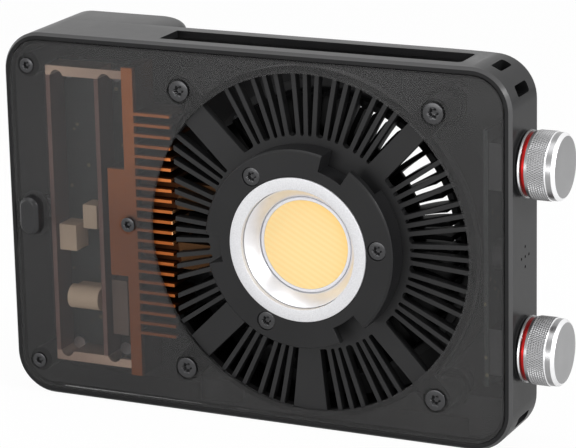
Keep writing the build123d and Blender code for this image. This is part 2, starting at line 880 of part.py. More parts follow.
def front_grille():
    """Cast grille: floor with the hub seat, radial ribs, broad spokes, ring and screw lugs."""
    front = panel_back
    rim = grille_ring_inner + grille_ring_width / 2
    sketch = ring(grille_slot_inner, floor_bore_radius)
    sketch += ring(grille_ring_outer, grille_ring_inner)
    for angle in rib_angles():
        sketch += bar(rib_width, grille_wide_slot_inner, rim, angle)
    for angle, width in top_spoke_places + bottom_spoke_places:
        sketch += bar(width, grille_wide_slot_inner, rim, angle)
    sketch += sector(grille_wide_slot_inner, rim, *bottom_wedge)
    right_part = block(grille_cut_x, half_width, -half_height, half_height)
    grille = prism(rounded_slots((sketch & right_part).face()), front, grille_back)
    for x, z in large_screw_places:
        reach = math.hypot(x - fan_x, z)
        turn = math.degrees(math.atan2(z, x - fan_x))
        lug = disc(post_radius, x, z)
        lug += bar(2 * post_radius, rim, reach, turn)
        lug -= disc(large_thread_radius + touch_gap, x, z)
        grille += prism(lug - disc(grille_ring_inner), front, grille_lug_back)
    for angle in hub_screw_angles:
        x, z = polar(hub_screw_circle, angle)
        grille -= prism(disc(hub_thread_radius + thread_clearance, x, z), front - 1, grille_back + 1)
    return grille


def bayonet_hub():
    """Hub with three bayonet notches and an undercut lock channel beside each notch."""
    hub = revolved([
        (hub_bore_radius, panel_back),
        (hub_radius, panel_back),
        (hub_radius, -hub_height + hub_chamfer),
        (hub_radius - hub_chamfer, -hub_height),
        (hub_bore_radius, -hub_height),
    ])
    flange_back = -hub_height + flange_thickness
    for angle in notch_angles:
        start = angle - notch_angle / 2
        end = angle + notch_angle / 2
        notch = sector(notch_inner_radius, hub_radius + 1, start, end)
        channel = sector(notch_inner_radius, hub_radius + 1, start - undercut_angle, start + 1)
        hub -= prism(notch, -hub_height - 1, panel_back + 1)
        hub -= prism(channel, flange_back, panel_back + 1)
    for angle in hub_screw_angles:
        x, z = polar(hub_screw_circle, angle)
        recess = prism(disc(hub_head_radius + touch_gap, x, z), -hub_height - 1, hub_head_seat)
        hole = prism(disc(hub_thread_radius + thread_clearance, x, z), -hub_height - 1, panel_back + 1)
        hub -= recess + hole
    return hub


# ---------------------------------------------------------------- light engine
def led_trim_ring():
    """White ring around the reflector, with the skirt that spaces it off the reflector flange."""
    top = -hub_height - trim_proud
    skirt_inner = trim_outer_radius - trim_skirt_wall
    return revolved([
        (trim_inner_radius, top),
        (trim_outer_radius, top),
        (trim_outer_radius, reflector_seat),
        (skirt_inner, reflector_seat),
        (skirt_inner, top + trim_web),
        (trim_inner_radius, top + trim_web),
    ])


def led_reflector():
    """Polished cone with a flat flange that sits on the light source's carrier."""
    top = -hub_height + reflector_top_drop
    return revolved([
        (reflector_top_radius - reflector_wall, top),
        (reflector_top_radius, top),
        (reflector_bottom_radius + reflector_wall, reflector_seat),
        (trim_outer_radius, reflector_seat),
        (trim_outer_radius, substrate_front),
        (reflector_bottom_radius, substrate_front),
        (reflector_bottom_radius, reflector_seat),
    ])


def led_dam():
    """White dam that holds the phosphor gel."""
    return prism(ring(dam_radius, phosphor_radius), phosphor_depth - dam_rise, substrate_front)


def led_phosphor():
    """Round yellow light-emitting surface."""
    return prism(disc(phosphor_radius), phosphor_depth, substrate_front)


def led_substrate():
    """Square carrier of the light source."""
    square = Pos(fan_x, 0) * Rectangle(substrate_size, substrate_size)
    return prism(square, substrate_front, substrate_back)


def pipe_sketches():
    """Outlines of the two flat heat pipes, with round ends."""
    left = base_left + pipe_width / 2
    right = fan_x + pipe_right_reach
    length = right - left
    places = [end * pipe_spacing / 2 for end in (-1, 1)]
    return [Pos((left + right) / 2, z) * SlotOverall(length, pipe_width) for z in places]


def cold_plate():
    """Copper plate behind the light source, with channels for the heat pipes."""
    plate = prism(disc(pedestal_radius), substrate_back, grille_back)
    plate += prism(disc(cold_plate_radius), grille_back, cold_plate_back)
    for sketch in pipe_sketches():
        plate -= prism(sketch, pipe_front, cold_plate_back + 1)
    for angle in hub_screw_angles:
        x, z = polar(hub_screw_circle, angle)
        plate -= prism(disc(hub_thread_radius + thread_clearance, x, z), grille_back - 1, hub_screw_end)
    return plate


def heat_pipes():
    """Two flat pipes from the cold plate to the comb's base."""
    return group([prism(sketch, pipe_front, cold_plate_back) for sketch in pipe_sketches()])


def fin_comb():
    """Copper comb: tall spine, wider base and a stack of level fins."""
    sketch = block(spine_left, spine_right, -spine_half_height, spine_half_height)
    first = -fin_pitch * (fin_count - 1) / 2
    for step in range(fin_count):
        middle = first + step * fin_pitch
        fin = block(spine_right - 0.5, fin_tip_x, middle - fin_thickness / 2, middle + fin_thickness / 2)
        sketch += fin
    comb = prism(sketch, comb_front, comb_back)
    base = block(base_left, spine_right, -base_half_height, base_half_height)
    comb += prism(base, comb_front, driver_board_depth - board_gap)
    for pipe in pipe_sketches():
        comb -= prism(pipe, pipe_front, cold_plate_back)
    return comb - prism(disc(small_thread_radius + thread_clearance, comb_screw_x, 0), 0, slab_depth)


# ---------------------------------------------------------------- fan
def fan_scroll():
    """Wall around the impeller, open towards the vent and the fins, with ears on the right posts."""
    wall = sector(scroll_radius, scroll_radius + scroll_wall, scroll_start_angle, scroll_end_angle)
    scroll = prism(wall, grille_back, rear_wall_front)
    ear_outer = post_radius + touch_gap + scroll_ear_wall
    ear_front = grille_back + scroll_ear_lift
    for x, z in large_screw_places[2:]:
        ear = disc(ear_outer, x, z) - disc(scroll_radius)
        scroll += prism(ear, ear_front, ear_front + scroll_ear_height)
    for x, z in large_screw_places:
        scroll -= prism(disc(post_radius + touch_gap, x, z), 0, slab_depth)
    return scroll


def blade_sketch(angle):
    """One backward-curved blade, bowed between its root and its tip."""
    root = blade_inner_radius
    tip = impeller_radius - impeller_ring_width / 2
    half = blade_thickness / 2
    start = Vector(*polar(root, angle, 0, 0))
    end = Vector(*polar(tip, angle - blade_sweep_angle, 0, 0))
    along = (end - start).normalized()
    across = Vector(-along.Y, along.X)
    middle = (start + end) / 2 + across * blade_bow
    outer = ThreePointArc(start + across * half, middle + across * half, end + across * half)
    inner = ThreePointArc(start - across * half, middle - across * half, end - across * half)
    return make_face([outer, Line(outer @ 1, inner @ 1), inner, Line(inner @ 0, outer @ 0)])


def fan_impeller():
    """Radial fan wheel: cup over the motor, carrier disc, curved blades and a tie ring."""
    cup = revolved([
        (fan_shaft_radius + thread_clearance, impeller_front_depth),
        (impeller_cup_radius, impeller_front_depth),
        (impeller_cup_radius, impeller_back_depth),
        (impeller_cup_radius - impeller_cup_wall, impeller_back_depth),
        (impeller_cup_radius - impeller_cup_wall, impeller_front_depth + impeller_cup_wall),
        (fan_shaft_radius + thread_clearance, impeller_front_depth + impeller_cup_wall),
    ])
    middle = (impeller_front_depth + impeller_back_depth) / 2
    half = impeller_disc_thickness / 2
    inner = impeller_cup_radius - impeller_cup_wall / 2
    wheel = cup + prism(ring(impeller_disc_radius, inner), middle - half, middle + half)
    for step in range(blade_count):
        blade = Pos(fan_x, 0) * blade_sketch(step * 360 / blade_count)
        wheel += prism(blade, impeller_front_depth, impeller_back_depth)
    tie = ring(impeller_radius, impeller_radius - impeller_ring_width)
    return wheel + prism(tie, impeller_back_depth - impeller_ring_width, impeller_back_depth)


def fan_shaft():
    """Steel shaft pressed into the cup and running in the two bearings."""
    return prism(disc(fan_shaft_radius), impeller_front_depth, shaft_back)


def fan_magnet():
    """Ring magnet inside the cup."""
    outer = impeller_cup_radius - impeller_cup_wall
    magnet = ring(outer, outer - magnet_thickness)
    return prism(magnet, impeller_front_depth + impeller_cup_wall, impeller_back_depth - magnet_back_gap)


def fan_stator():
    """Laminated core with its poles, on the bearing tube."""
    tube_outer = bearing_outer_radius + tube_wall
    core = ring(stator_core_radius, tube_outer)
    shoe_inner = stator_radius - 1.6
    shoe_half = stator_pole_angle / 2
    for step in range(stator_poles):
        angle = step * 360 / stator_poles
        core += bar(stator_pole_width, stator_core_radius - 0.5, shoe_inner + 0.5, angle)
        core += sector(shoe_inner, stator_radius, angle - shoe_half, angle + shoe_half)
    return prism(core, stator_front, stator_front + stator_thickness)


def fan_coils():
    """Copper windings, one around each pole."""
    inner = stator_core_radius + 0.6
    outer = stator_radius - 2.2
    coils = []
    for step in range(stator_poles):
        angle = step * 360 / stator_poles
        round_pole = bar(stator_pole_width + 2 * coil_thickness, inner, outer, angle)
        wound = prism(round_pole, stator_front - coil_thickness, stator_back + coil_thickness)
        pole = bar(stator_pole_width, inner - 1, outer + 1, angle)
        coils.append(wound - prism(pole, stator_front, stator_back))
    return group(coils)


def fan_bearings():
    """Two plain bearings at the ends of the bearing tube."""
    sleeve = ring(bearing_outer_radius, fan_shaft_radius + running_clearance)
    front = prism(sleeve, tube_front, tube_front + bearing_length)
    back = prism(sleeve, rear_wall_front - bearing_length, rear_wall_front)
    return group([front, back])


def motor_board():
    """Round circuit board of the motor, on the guard's hub."""
    board = ring(motor_board_radius, bearing_outer_radius + tube_wall)
    return prism(board, rear_wall_front - motor_board_thickness, rear_wall_front)


def guard_screw_places():
    """Places of the four screws in the guard's flange."""
    step_angle = 360 / guard_screw_count
    return [polar(guard_screw_circle, (step + 0.5) * step_angle) for step in range(guard_screw_count)]


def rear_guard():
    """Rear finger guard with the motor's bearing tube on its hub."""
    flange_outer = guard_outer_radius + guard_flange_width
    flange = ring(flange_outer, guard_eye_radius)
    guard = prism(flange, rear_wall_front - guard_flange_thickness, rear_wall_front)
    guard += prism(ring(guard_outer_radius, guard_eye_radius), rear_wall_front, slab_depth)
    bars = disc(guard_hub_radius)
    gap = (guard_eye_radius - guard_hub_radius) / (guard_rings + 1)
    for step in range(guard_rings):
        middle = guard_hub_radius + (step + 1) * gap
        bars += ring(middle + guard_bar_width / 2, middle - guard_bar_width / 2)
    for step in range(guard_arms):
        angle = 90 + step * 360 / guard_arms
        bars += bar(guard_bar_width, guard_hub_radius - 1, guard_eye_radius + 0.5, angle)
    guard += prism(bars, rear_wall_front, slab_depth)
    tube = ring(bearing_outer_radius + tube_wall, bearing_outer_radius)
    guard += prism(tube, tube_front, rear_wall_front)
    for x, z in guard_screw_places():
        hole = disc(guard_screw_radius + thread_clearance, x, z)
        guard -= prism(hole, rear_wall_front - 2, rear_wall_front + 0.5)
    return guard


# ---------------------------------------------------------------- driver electronics
def driver_board():
    """Power board on four standoffs behind the left half of the panel."""
    sketch = block(
        driver_board_left, driver_board_right, -driver_board_half_height, driver_board_half_height
    )
    board = prism(sketch, driver_board_depth, driver_board_depth + board_thickness)
    for x, z in standoff_places:
        hole = prism(disc(driver_screw_radius + touch_gap, x, z), 0, slab_depth)
        board -= hole
    return board


def driver_frame():
    """Plated shield frame on the board, with two tabs that earth it to the comb's spine."""
    width = driver_frame_width
    height = 2 * driver_frame_half_height
    outer = Rectangle(width, height)
    hole = Rectangle(width - 2 * driver_rail_width, height - 2 * driver_bar_height)
    frame = prism(Pos(driver_frame_middle, 0) * (outer - hole), driver_frame_front, driver_board_depth)
    for end in (-1, 1):
        low = end * (driver_frame_half_height - tab_height / 2) - tab_height / 2
        tab = block(driver_frame_right - 0.5, spine_left, low, low + tab_height)
        frame += prism(tab, driver_frame_front, driver_frame_front + driver_rail_width)
    for x, z in standoff_places:
        frame -= prism(disc(driver_head_radius + touch_gap, x, z), 0, driver_board_depth + 1)
    return frame


def driver_transformer():
    """Wound transformer lying across the board on its core."""
    offset, z = transformer_place
    half = transformer_core / 2
    depth = driver_board_depth - half
    left = driver_frame_middle + offset - transformer_length / 2
    right = left + transformer_length
    winding = tube_x(transformer_radius, left, right, depth, z)
    margin = transformer_foot_margin
    foot = block(left + margin, right - margin, z - half + margin, z + half - margin)
    return winding + prism(foot, depth, driver_board_depth)


def board_box(x, z, size, height):
    """Block-shaped component on the front of the power board."""
    sketch = Pos(x, z) * Rectangle(*size)
    return prism(sketch, driver_board_depth - height, driver_board_depth)


def driver_capacitors():
    """Film capacitor and box capacitor on the front of the board."""
    film_x = driver_frame_right - film_capacitor_inset
    box_x = driver_frame_left + box_capacitor_inset
    film = board_box(film_x, film_capacitor_z, film_capacitor_size, component_height)
    boxed = board_box(box_x, box_capacitor_z, box_capacitor_size, box_capacitor_height)
    return group([film, boxed])


def driver_choke():
    """Flat ferrite choke between the shield frame and the comb."""
    return board_box(driver_frame_right + choke_offset, choke_z, choke_size, component_height)


def bulk_capacitors():
    """Electrolytic capacitors lying on the back of the board, inside the grip."""
    depth = driver_board_depth + board_thickness + bulk_capacitor_radius
    half = bulk_capacitor_length / 2
    cans = []
    for step in range(bulk_capacitor_count):
        z = (step - (bulk_capacitor_count - 1) / 2) * bulk_capacitor_pitch
        origin = (socket_offset + bulk_capacitor_x, front_y + depth, half_height + z)
        cans.append(Pos(*origin) * Cylinder(bulk_capacitor_radius, 2 * half))
    return group(cans)


def driver_screws():
    """Four small screws that hold the power board on its standoffs."""
    screws = []
    head_top = driver_board_depth - driver_head_height
    for x, z in standoff_places:
        head = prism(disc(driver_head_radius, x, z), head_top, driver_board_depth)
        stem = prism(disc(driver_screw_radius, x, z), driver_board_depth, driver_screw_end)
        screws.append(head + stem)
    return group(screws)


# ---------------------------------------------------------------- inlet side
def inlet_board():
    """Small board against the grip's back wall that carries both power sockets."""
    left = -half_width + grip_wall + touch_gap
    sketch = block(left, left + inlet_board_length, -inlet_board_half_height, inlet_board_half_height)
    return prism(sketch, grip_cavity_back - inlet_board_thickness, grip_cavity_back)


def dc_jack():
    """Barrel socket body with its round bore."""
    left = -half_width + grip_wall
    sketch = block(left, left + jack_length, jack_z - jack_height / 2, jack_z + jack_height / 2)
    back = grip_cavity_back - inlet_board_thickness
    body = prism(sketch, back - jack_depth, back)
    return body - tube_x(jack_bore_radius, left - 1, left + jack_bore_length, jack_centre, jack_z)


def dc_jack_pin():
    """Centre contact of the barrel socket."""
    left = -half_width + grip_wall
    return tube_x(jack_pin_radius, left + jack_pin_start, left + jack_bore_length, jack_centre, jack_z)


def usb_outline(margin, x_start, x_end):
    """Rounded slot along X in the size of the small power socket."""
    plane = Plane(
        origin=(socket_offset + x_start, front_y + usb_centre, half_height + usb_z),
        x_dir=(0, 0, 1),
        z_dir=(1, 0, 0),
    )
    slot = SlotOverall(usb_width + 2 * margin, usb_height + 2 * margin)
    return extrude(plane * slot, x_end - x_start)


def usb_c_port():
    """Small reversible power socket: shell, floor and contact tongue."""
    left = -half_width + usb_inset
    shell = usb_outline(0, left, left + usb_length)
    shell -= usb_outline(-usb_wall, left - 1, left + usb_length - usb_floor)
    tongue = Box(usb_length - usb_floor, tongue_thickness, usb_width - 2 * tongue_margin)
    x = socket_offset + left + usb_floor + (usb_length - usb_floor) / 2
    return shell + Pos(x, front_y + usb_centre, half_height + usb_z) * tongue


def display_sketch(margin):
    """Outline of the level display on the back of the grip."""
    size = (display_width - 2 * margin, display_height - 2 * margin)
    return Pos(display_x, display_z) * RectangleRounded(*size, display_corner - margin / 2)


def display_window():
    """Clear window flush with the back of the grip."""
    return prism(display_sketch(touch_gap), grip_back - display_window_thickness, grip_back)


def display_module():
    """Display panel behind the window, on the inside of the grip's back wall."""
    sketch = Pos(display_x, display_z) * Rectangle(display_width + 2, display_height + 2)
    return prism(sketch, grip_cavity_back - display_module_thickness, grip_cavity_back)


# ---------------------------------------------------------------- dials
def control_board():
    """Upright board behind the right wall that carries both encoders and the sounder."""
    left = control_board_right - control_board_thickness
    sketch = block(left, control_board_right, -control_board_half_height, control_board_half_height)
    return prism(sketch, ledge_back + control_board_margin, rear_wall_front - control_board_margin)


def encoder(z):
    """Rotary encoder body with its threaded bush and the cavity for the push contact."""
    half = encoder_size / 2
    sketch = block(control_board_right, cavity_half_width, z - half, z + half)
    body = prism(sketch, side_axis_depth - half, side_axis_depth + half)
    body += tube_x(bush_radius, cavity_half_width - 1, half_width + bush_length, side_axis_depth, z)
    body -= tube_x(encoder_cavity_radius, plunger_stop, plunger_seat, side_axis_depth, z)
    bore = dial_shaft_radius + running_clearance
    return body - tube_x(bore, plunger_seat - 1, half_width + bush_length + 1, side_axis_depth, z)


def encoder_plunger(z):
    """Push contact at the inner end of the dial's shaft."""
    start = plunger_seat - plunger_gap - plunger_thickness
    return tube_x(plunger_radius, start, start + plunger_thickness, side_axis_depth, z)


def dial_shaft(z):
    """Steel shaft from the push contact to the knob."""
    return tube_x(dial_shaft_radius, plunger_seat - plunger_gap, shaft_end, side_axis_depth, z)


def dial_profile(points, z):
    """Solid of revolution about a dial's axis from (radius, distance from the wall) corners."""
    profile = Plane.XZ * make_face(Polyline(points, close=True))
    return side_frame(half_width, side_axis_depth, z) * revolve(profile, Axis.Z)


def dial_knob(z):
    """Turned aluminium knob with a lip, a ring groove, a grip band and a bevelled nose."""
    back = dial_back_gap
    groove = back + dial_lip_length
    band = groove + dial_groove_length
    grip = band + dial_band_length
    nose = grip + dial_grip_length
    bevel = nose + dial_nose_length
    end = bevel + dial_bevel_length
    floor = dial_groove_radius - dial_ring_thickness
    bore = dial_shaft_radius + thread_clearance
    return dial_profile([
        (dial_recess_radius, back),
        (dial_lip_radius, back),
        (dial_lip_radius, groove),
        (floor, groove),
        (floor, band),
        (dial_lip_radius, band),
        (dial_lip_radius, grip),
        (dial_grip_radius, grip),
        (dial_grip_radius, nose),
        (dial_lip_radius, nose),
        (dial_lip_radius, bevel),
        (dial_end_radius, end),
        (0, end),
        (0, shaft_end - half_width),
        (bore, shaft_end - half_width),
        (bore, back + dial_recess_depth),
        (dial_recess_radius, back + dial_recess_depth),
    ], z)


def dial_ring(z):
    """Anodised ring in the knob's groove."""
    start = dial_back_gap + dial_lip_length
    end = start + dial_groove_length
    inner = dial_groove_radius - dial_ring_thickness
    return dial_profile([
        (inner, start),
        (dial_groove_radius, start),
        (dial_groove_radius, end),
        (inner, end),
    ], z)


def wall_ring(outer, inner, thickness, z):
    """Flat ring lying on the outside of the right wall."""
    solid = tube_x(outer, half_width, half_width + thickness, side_axis_depth, z)
    return solid - tube_x(inner, half_width - 1, half_width + thickness + 1, side_axis_depth, z)


def dial_nuts():
    """Two nuts that clamp the encoders' bushes to the wall."""
    inner = bush_radius + thread_clearance
    return group([wall_ring(nut_radius, inner, nut_thickness, z) for z in dial_z])


def dial_seats():
    """Two thin black washers under the knobs."""
    rings = [wall_ring(dial_seat_outer, dial_seat_inner, dial_seat_thickness, z) for z in dial_z]
    return group(rings)


def buzzer():
    """Sounder behind the pinholes."""
    end = control_board_right + buzzer_length
    return tube_x(buzzer_radius, control_board_right, end, side_axis_depth, 0)


# ---------------------------------------------------------------- release button
def button_sketch(margin):
    """Pill outline of the release button, grown by a margin."""
    slot = SlotOverall(button_height + 2 * margin, button_width + 2 * margin)
    return Pos(button_x, 0) * Rot(0, 0, 90) * slot


def release_button():
    """Pill-shaped button with a retaining flange and a guide stem."""
    cap = prism(button_sketch(0), -button_proud + button_bevel, button_flange_front)
    bevelled = [
        front_plane(-button_proud) * button_sketch(-button_bevel),
        front_plane(-button_proud + button_bevel) * button_sketch(0),
    ]
    cap += loft(bevelled)
    flange_back = button_flange_front + button_flange_thickness
    cap += prism(button_sketch(button_flange_margin), button_flange_front, flange_back)
    cap += prism(disc(button_stem_radius, button_x, 0), flange_back, stem_end)
    groove = ring(button_stem_radius + 1, clip_groove_radius, button_x, 0)
    return cap - prism(groove, clip_front, clip_front + clip_thickness)


def release_clip():
    """Snap ring in the stem's groove that stops the button at its outer end."""
    rounded = ring(clip_radius, clip_groove_radius + thread_clearance, button_x, 0)
    mouth = block(button_x, button_x + clip_radius + 1, -clip_mouth / 2, clip_mouth / 2)
    return prism(rounded - mouth, clip_front, clip_front + clip_thickness)


def release_spring():
    """Return spring between the button's flange and the guide boss."""
    start = button_flange_front + button_flange_thickness + spring_wire_radius + spring_end_gap
    end = button_guide_top - spring_wire_radius - spring_end_gap
    pitch = (end - start) / spring_turns
    coil = Helix(pitch, end - start, spring_radius)
    section = Plane(origin=coil @ 0, z_dir=coil % 0) * Circle(spring_wire_radius)
    wire = sweep(section, coil)
    base = Plane(
        origin=(socket_offset + button_x, front_y + start, half_height), x_dir=(1, 0, 0), z_dir=(0, 1, 0)
    )
    return base.location * wire


# ---------------------------------------------------------------- screws
def star_drive(x, z, seat):
    """Six-lobed drive cut into a screw head from the front."""
    lobes = disc(drive_radius * 0.72, x, z)
    for step in range(6):
        lx, lz = polar(drive_radius * 0.78, step * 60 + 15, x, z)
        lobes += disc(drive_radius * 0.27, lx, lz)
    return prism(lobes, seat - 1, seat + drive_depth)


def front_screw(x, z, top, head_radius, head_height, thread_radius, end):
    """Pan-head screw driven from the front."""
    head = prism(disc(head_radius, x, z), top, top + head_height)
    front_edge = head.edges().filter_by(GeomType.CIRCLE).sort_by(Axis.Y)[0]
    head = chamfer(front_edge, head_height * 0.35)
    screw = head + prism(disc(thread_radius, x, z), top + head_height, end)
    return screw - star_drive(x, z, top)


def panel_screws_large():
    """Four large screws through the panel and the grille's lugs."""
    top = large_recess_depth - large_head_height
    return group([
        front_screw(x, z, top, large_head_radius, large_head_height, large_thread_radius, large_screw_end)
        for x, z in large_screw_places
    ])


def panel_screws_small():
    """Three small screws: two at the left corners and one into the comb."""
    top = small_recess_depth - small_head_height
    ends = [top + small_head_height + small_thread_length] * 2 + [comb_screw_end]
    return group([
        front_screw(x, z, top, small_head_radius, small_head_height, small_thread_radius, end)
        for (x, z), end in zip(small_screw_places, ends)
    ])


def hub_screws():
    """Three screws through the hub and the grille into the cold plate."""
    return group([
        front_screw(*polar(hub_screw_circle, angle), hub_head_top, hub_head_radius, hub_head_height,
                    hub_thread_radius, hub_screw_end)
        for angle in hub_screw_angles
    ])


def guard_screws():
    """Four flush screws from the back through the rear wall into the guard's flange."""
    return group([
        prism(disc(guard_screw_radius, x, z), rear_wall_front - guard_flange_thickness, slab_depth)
        for x, z in guard_screw_places()
    ])


def grip_screws():
    """Four screws from the back of the grip into the housing."""
    screws = []
    for x, z in grip_screw_places:
        head = prism(disc(grip_head_radius, x, z), grip_head_seat, grip_head_seat + grip_head_height)
        stem = prism(disc(grip_screw_radius, x, z), rear_wall_front - grip_screw_bite, grip_head_seat)
        screws.append(head + stem)
    return group(screws)


def build():
    """Write every node."""
    os.makedirs("parts", exist_ok=True)
    for maker in (
        main_housing, grip_shell, front_panel, front_grille, bayonet_hub,
        led_trim_ring, led_reflector, led_dam, led_phosphor, led_substrate,
        cold_plate, heat_pipes, fin_comb,
        fan_scroll, fan_impeller, fan_shaft, fan_magnet, fan_stator, fan_coils,
        fan_bearings, motor_board, rear_guard,
        driver_board, driver_frame, driver_transformer, driver_capacitors, driver_choke,
        bulk_capacitors, driver_screws,
        inlet_board, dc_jack, dc_jack_pin, usb_c_port, display_window, display_module,
        control_board, buzzer, dial_nuts, dial_seats,
        release_button, release_spring, release_clip, tripod_insert,
        panel_screws_large, panel_screws_small, hub_screws, guard_screws, grip_screws,
    ):
        save(maker(), maker.__name__)
    for name, z in zip(dial_names, dial_z):
        save(encoder(z), name + "_encoder")
        save(encoder_plunger(z), name + "_plunger")
        save(dial_shaft(z), name + "_dial_shaft")
        save(dial_knob(z), name + "_dial_knob")
        save(dial_ring(z), name + "_dial_ring")


build()
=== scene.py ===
"""Looks of the pocket LED video light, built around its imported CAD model.

Bare lengths of pieces are millimetres, and mm turns them into metres. Camera, lamps and floor
are placed in metres. Places on the light come from the CAD boxes of its nodes, so the dressed
pieces follow the solids.
"""
import json
import math

import bmesh
import bpy
import numpy as np
from mathutils import Matrix, Vector


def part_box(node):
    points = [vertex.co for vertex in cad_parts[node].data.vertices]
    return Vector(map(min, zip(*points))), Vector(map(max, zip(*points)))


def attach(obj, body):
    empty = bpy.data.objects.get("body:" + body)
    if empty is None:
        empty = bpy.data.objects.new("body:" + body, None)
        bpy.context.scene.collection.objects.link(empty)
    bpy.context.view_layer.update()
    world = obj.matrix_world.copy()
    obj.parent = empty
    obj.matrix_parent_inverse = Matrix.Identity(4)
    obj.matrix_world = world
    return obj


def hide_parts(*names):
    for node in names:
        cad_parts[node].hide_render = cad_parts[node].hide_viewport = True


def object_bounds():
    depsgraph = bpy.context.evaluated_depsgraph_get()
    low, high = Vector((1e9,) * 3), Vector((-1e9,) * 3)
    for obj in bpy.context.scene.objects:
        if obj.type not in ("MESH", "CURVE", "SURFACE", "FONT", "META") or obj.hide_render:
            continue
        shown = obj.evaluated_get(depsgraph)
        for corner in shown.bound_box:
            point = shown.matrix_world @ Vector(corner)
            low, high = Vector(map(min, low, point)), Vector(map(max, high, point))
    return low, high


mm = 0.001
made_weld = 0.002 * mm  # doubles of a worked-out mesh lie closer than this
cad_weld = 0.003 * mm  # doubles of a CAD mesh lie closer than this
flat_angle = 0.6  # CAD triangles that turn by fewer degrees are one face
edge_angle = 32.0  # a CAD edge that turns by more degrees is rounded off
knurl_count = 84  # pyramids round a dial
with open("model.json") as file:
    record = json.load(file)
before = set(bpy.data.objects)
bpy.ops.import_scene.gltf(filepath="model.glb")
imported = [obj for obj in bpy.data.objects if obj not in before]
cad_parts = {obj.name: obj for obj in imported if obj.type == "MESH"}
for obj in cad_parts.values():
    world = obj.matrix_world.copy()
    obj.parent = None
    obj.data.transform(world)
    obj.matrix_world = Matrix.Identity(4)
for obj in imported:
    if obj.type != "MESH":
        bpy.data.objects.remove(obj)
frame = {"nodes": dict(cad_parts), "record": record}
cad_low, cad_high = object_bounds()


# ---------------------------------------------------------------- shader maths
class Signal:
    """A shader number for use in Python sums, which add the Math nodes they need."""

    def __init__(self, paint, socket):
        self.paint = paint
        self.socket = socket

    def maths(self, operation, first, second=0.0):
        node = self.paint.add("ShaderNodeMath", {"operation": operation}, {0: first, 1: second})
        return Signal(self.paint, node.outputs[0])

    def __add__(self, other):
        return self.maths("ADD", self, other)

    def __radd__(self, other):
        return self.maths("ADD", other, self)

    def __sub__(self, other):
        return self.maths("SUBTRACT", self, other)

    def __rsub__(self, other):
        return self.maths("SUBTRACT", other, self)

    def __mul__(self, other):
        return self.maths("MULTIPLY", self, other)

    def __rmul__(self, other):
        return self.maths("MULTIPLY", other, self)

    def __truediv__(self, other):
        return self.maths("DIVIDE", self, other)

    def __pow__(self, other):
        return self.maths("POWER", self, other)

    def __gt__(self, other):
        return self.maths("GREATER_THAN", self, other)

    def __lt__(self, other):
        return self.maths("LESS_THAN", self, other)

    def sine(self):
        return self.maths("SINE", self)

    def root(self):
        return self.maths("SQRT", self)

    def size(self):
        return self.maths("ABSOLUTE", self)

    def larger(self, other):
        return self.maths("MAXIMUM", self, other)

    def smaller(self, other):
        return self.maths("MINIMUM", self, other)


class Paint:
    """Node tree of one material or world, with one method that adds any node."""

    def __init__(self, owner):
        owner.use_nodes = True
        self.owner = owner
        self.tree = owner.node_tree
        self.tree.nodes.clear()

    def add(self, kind, settings=None, values=None):
        """A node of a kind: its settings are set first, then its sockets' values or links."""
        node = self.tree.nodes.new(kind)
        for name, value in (settings or {}).items():
            setattr(node, name, value)
        for name, value in (values or {}).items():
            socket = node.inputs[name]
            if isinstance(value, Signal):
                self.tree.links.new(value.socket, socket)
            elif isinstance(value, bpy.types.NodeSocket):
                self.tree.links.new(value, socket)
            else:
                socket.default_value = value
        return node

    def place(self, centre=(0, 0, 0), scale=(1, 1, 1)):
        """Object coordinates, moved to a centre and then scaled."""
        where = self.add("ShaderNodeTexCoord").outputs["Object"]
        moved = self.add(
            "ShaderNodeVectorMath", {"operation": "SUBTRACT"}, {0: where, 1: tuple(centre)}
        ).outputs[0]
        return self.add("ShaderNodeMapping", None, {"Vector": moved, "Scale": scale}).outputs[0]

    def axes(self, vector):
        """The three numbers of a vector."""
        split = self.add("ShaderNodeSeparateXYZ", None, {0: vector})
        return [Signal(self, socket) for socket in split.outputs]

    def noise(self, scale, detail=3.0, roughness=0.55, where=None):
        """Cloudy noise from 0 to 1, with about scale spots per metre."""
        node = self.add(
            "ShaderNodeTexNoise",
            None,
            {
                "Vector": where or self.place(),
                "Scale": scale,
                "Detail": detail,
                "Roughness": roughness,
            },
        )
        return Signal(self, node.outputs[0])

    def specks(self, scale):
        """Distance to the nearest of about scale random points per metre."""
        node = self.add("ShaderNodeTexVoronoi", None, {"Vector": self.place(), "Scale": scale})
        return Signal(self, node.outputs["Distance"])

    def mix(self, factor, first, second):
        """Colour between two colours."""
        node = self.add(
            "ShaderNodeMix",
            {"data_type": "RGBA"},
            {0: factor, 6: colour(first), 7: colour(second)},
        )
        return node.outputs[2]

    def bump(self, height, strength, distance):
        """Normal of a small relief."""
        return self.add(
            "ShaderNodeBump", None, {"Height": height, "Strength": strength, "Distance": distance}
        ).outputs[0]

    def finish(self, **sockets):
        """Principled surface with the given sockets, joined to the output."""
        values = {
            name.replace("_", " ").title().replace("Ior", "IOR"): value
            for name, value in sockets.items()
        }
        shader = self.add("ShaderNodeBsdfPrincipled", None, values)
        self.add("ShaderNodeOutputMaterial", None, {"Surface": shader.outputs[0]})
        return self.owner


def colour(value):
    """A colour with its alpha, or the link it already is."""
    return (*value, 1.0) if isinstance(value, tuple) else value


def paint(name):
    """A new, empty material."""
    return Paint(bpy.data.materials.new(name))


def scaled(base, factor, lift=0.0):
    """A colour times a factor, plus a lift, and no more than 1."""
    return tuple(min(1.0, part * factor + lift) for part in base)


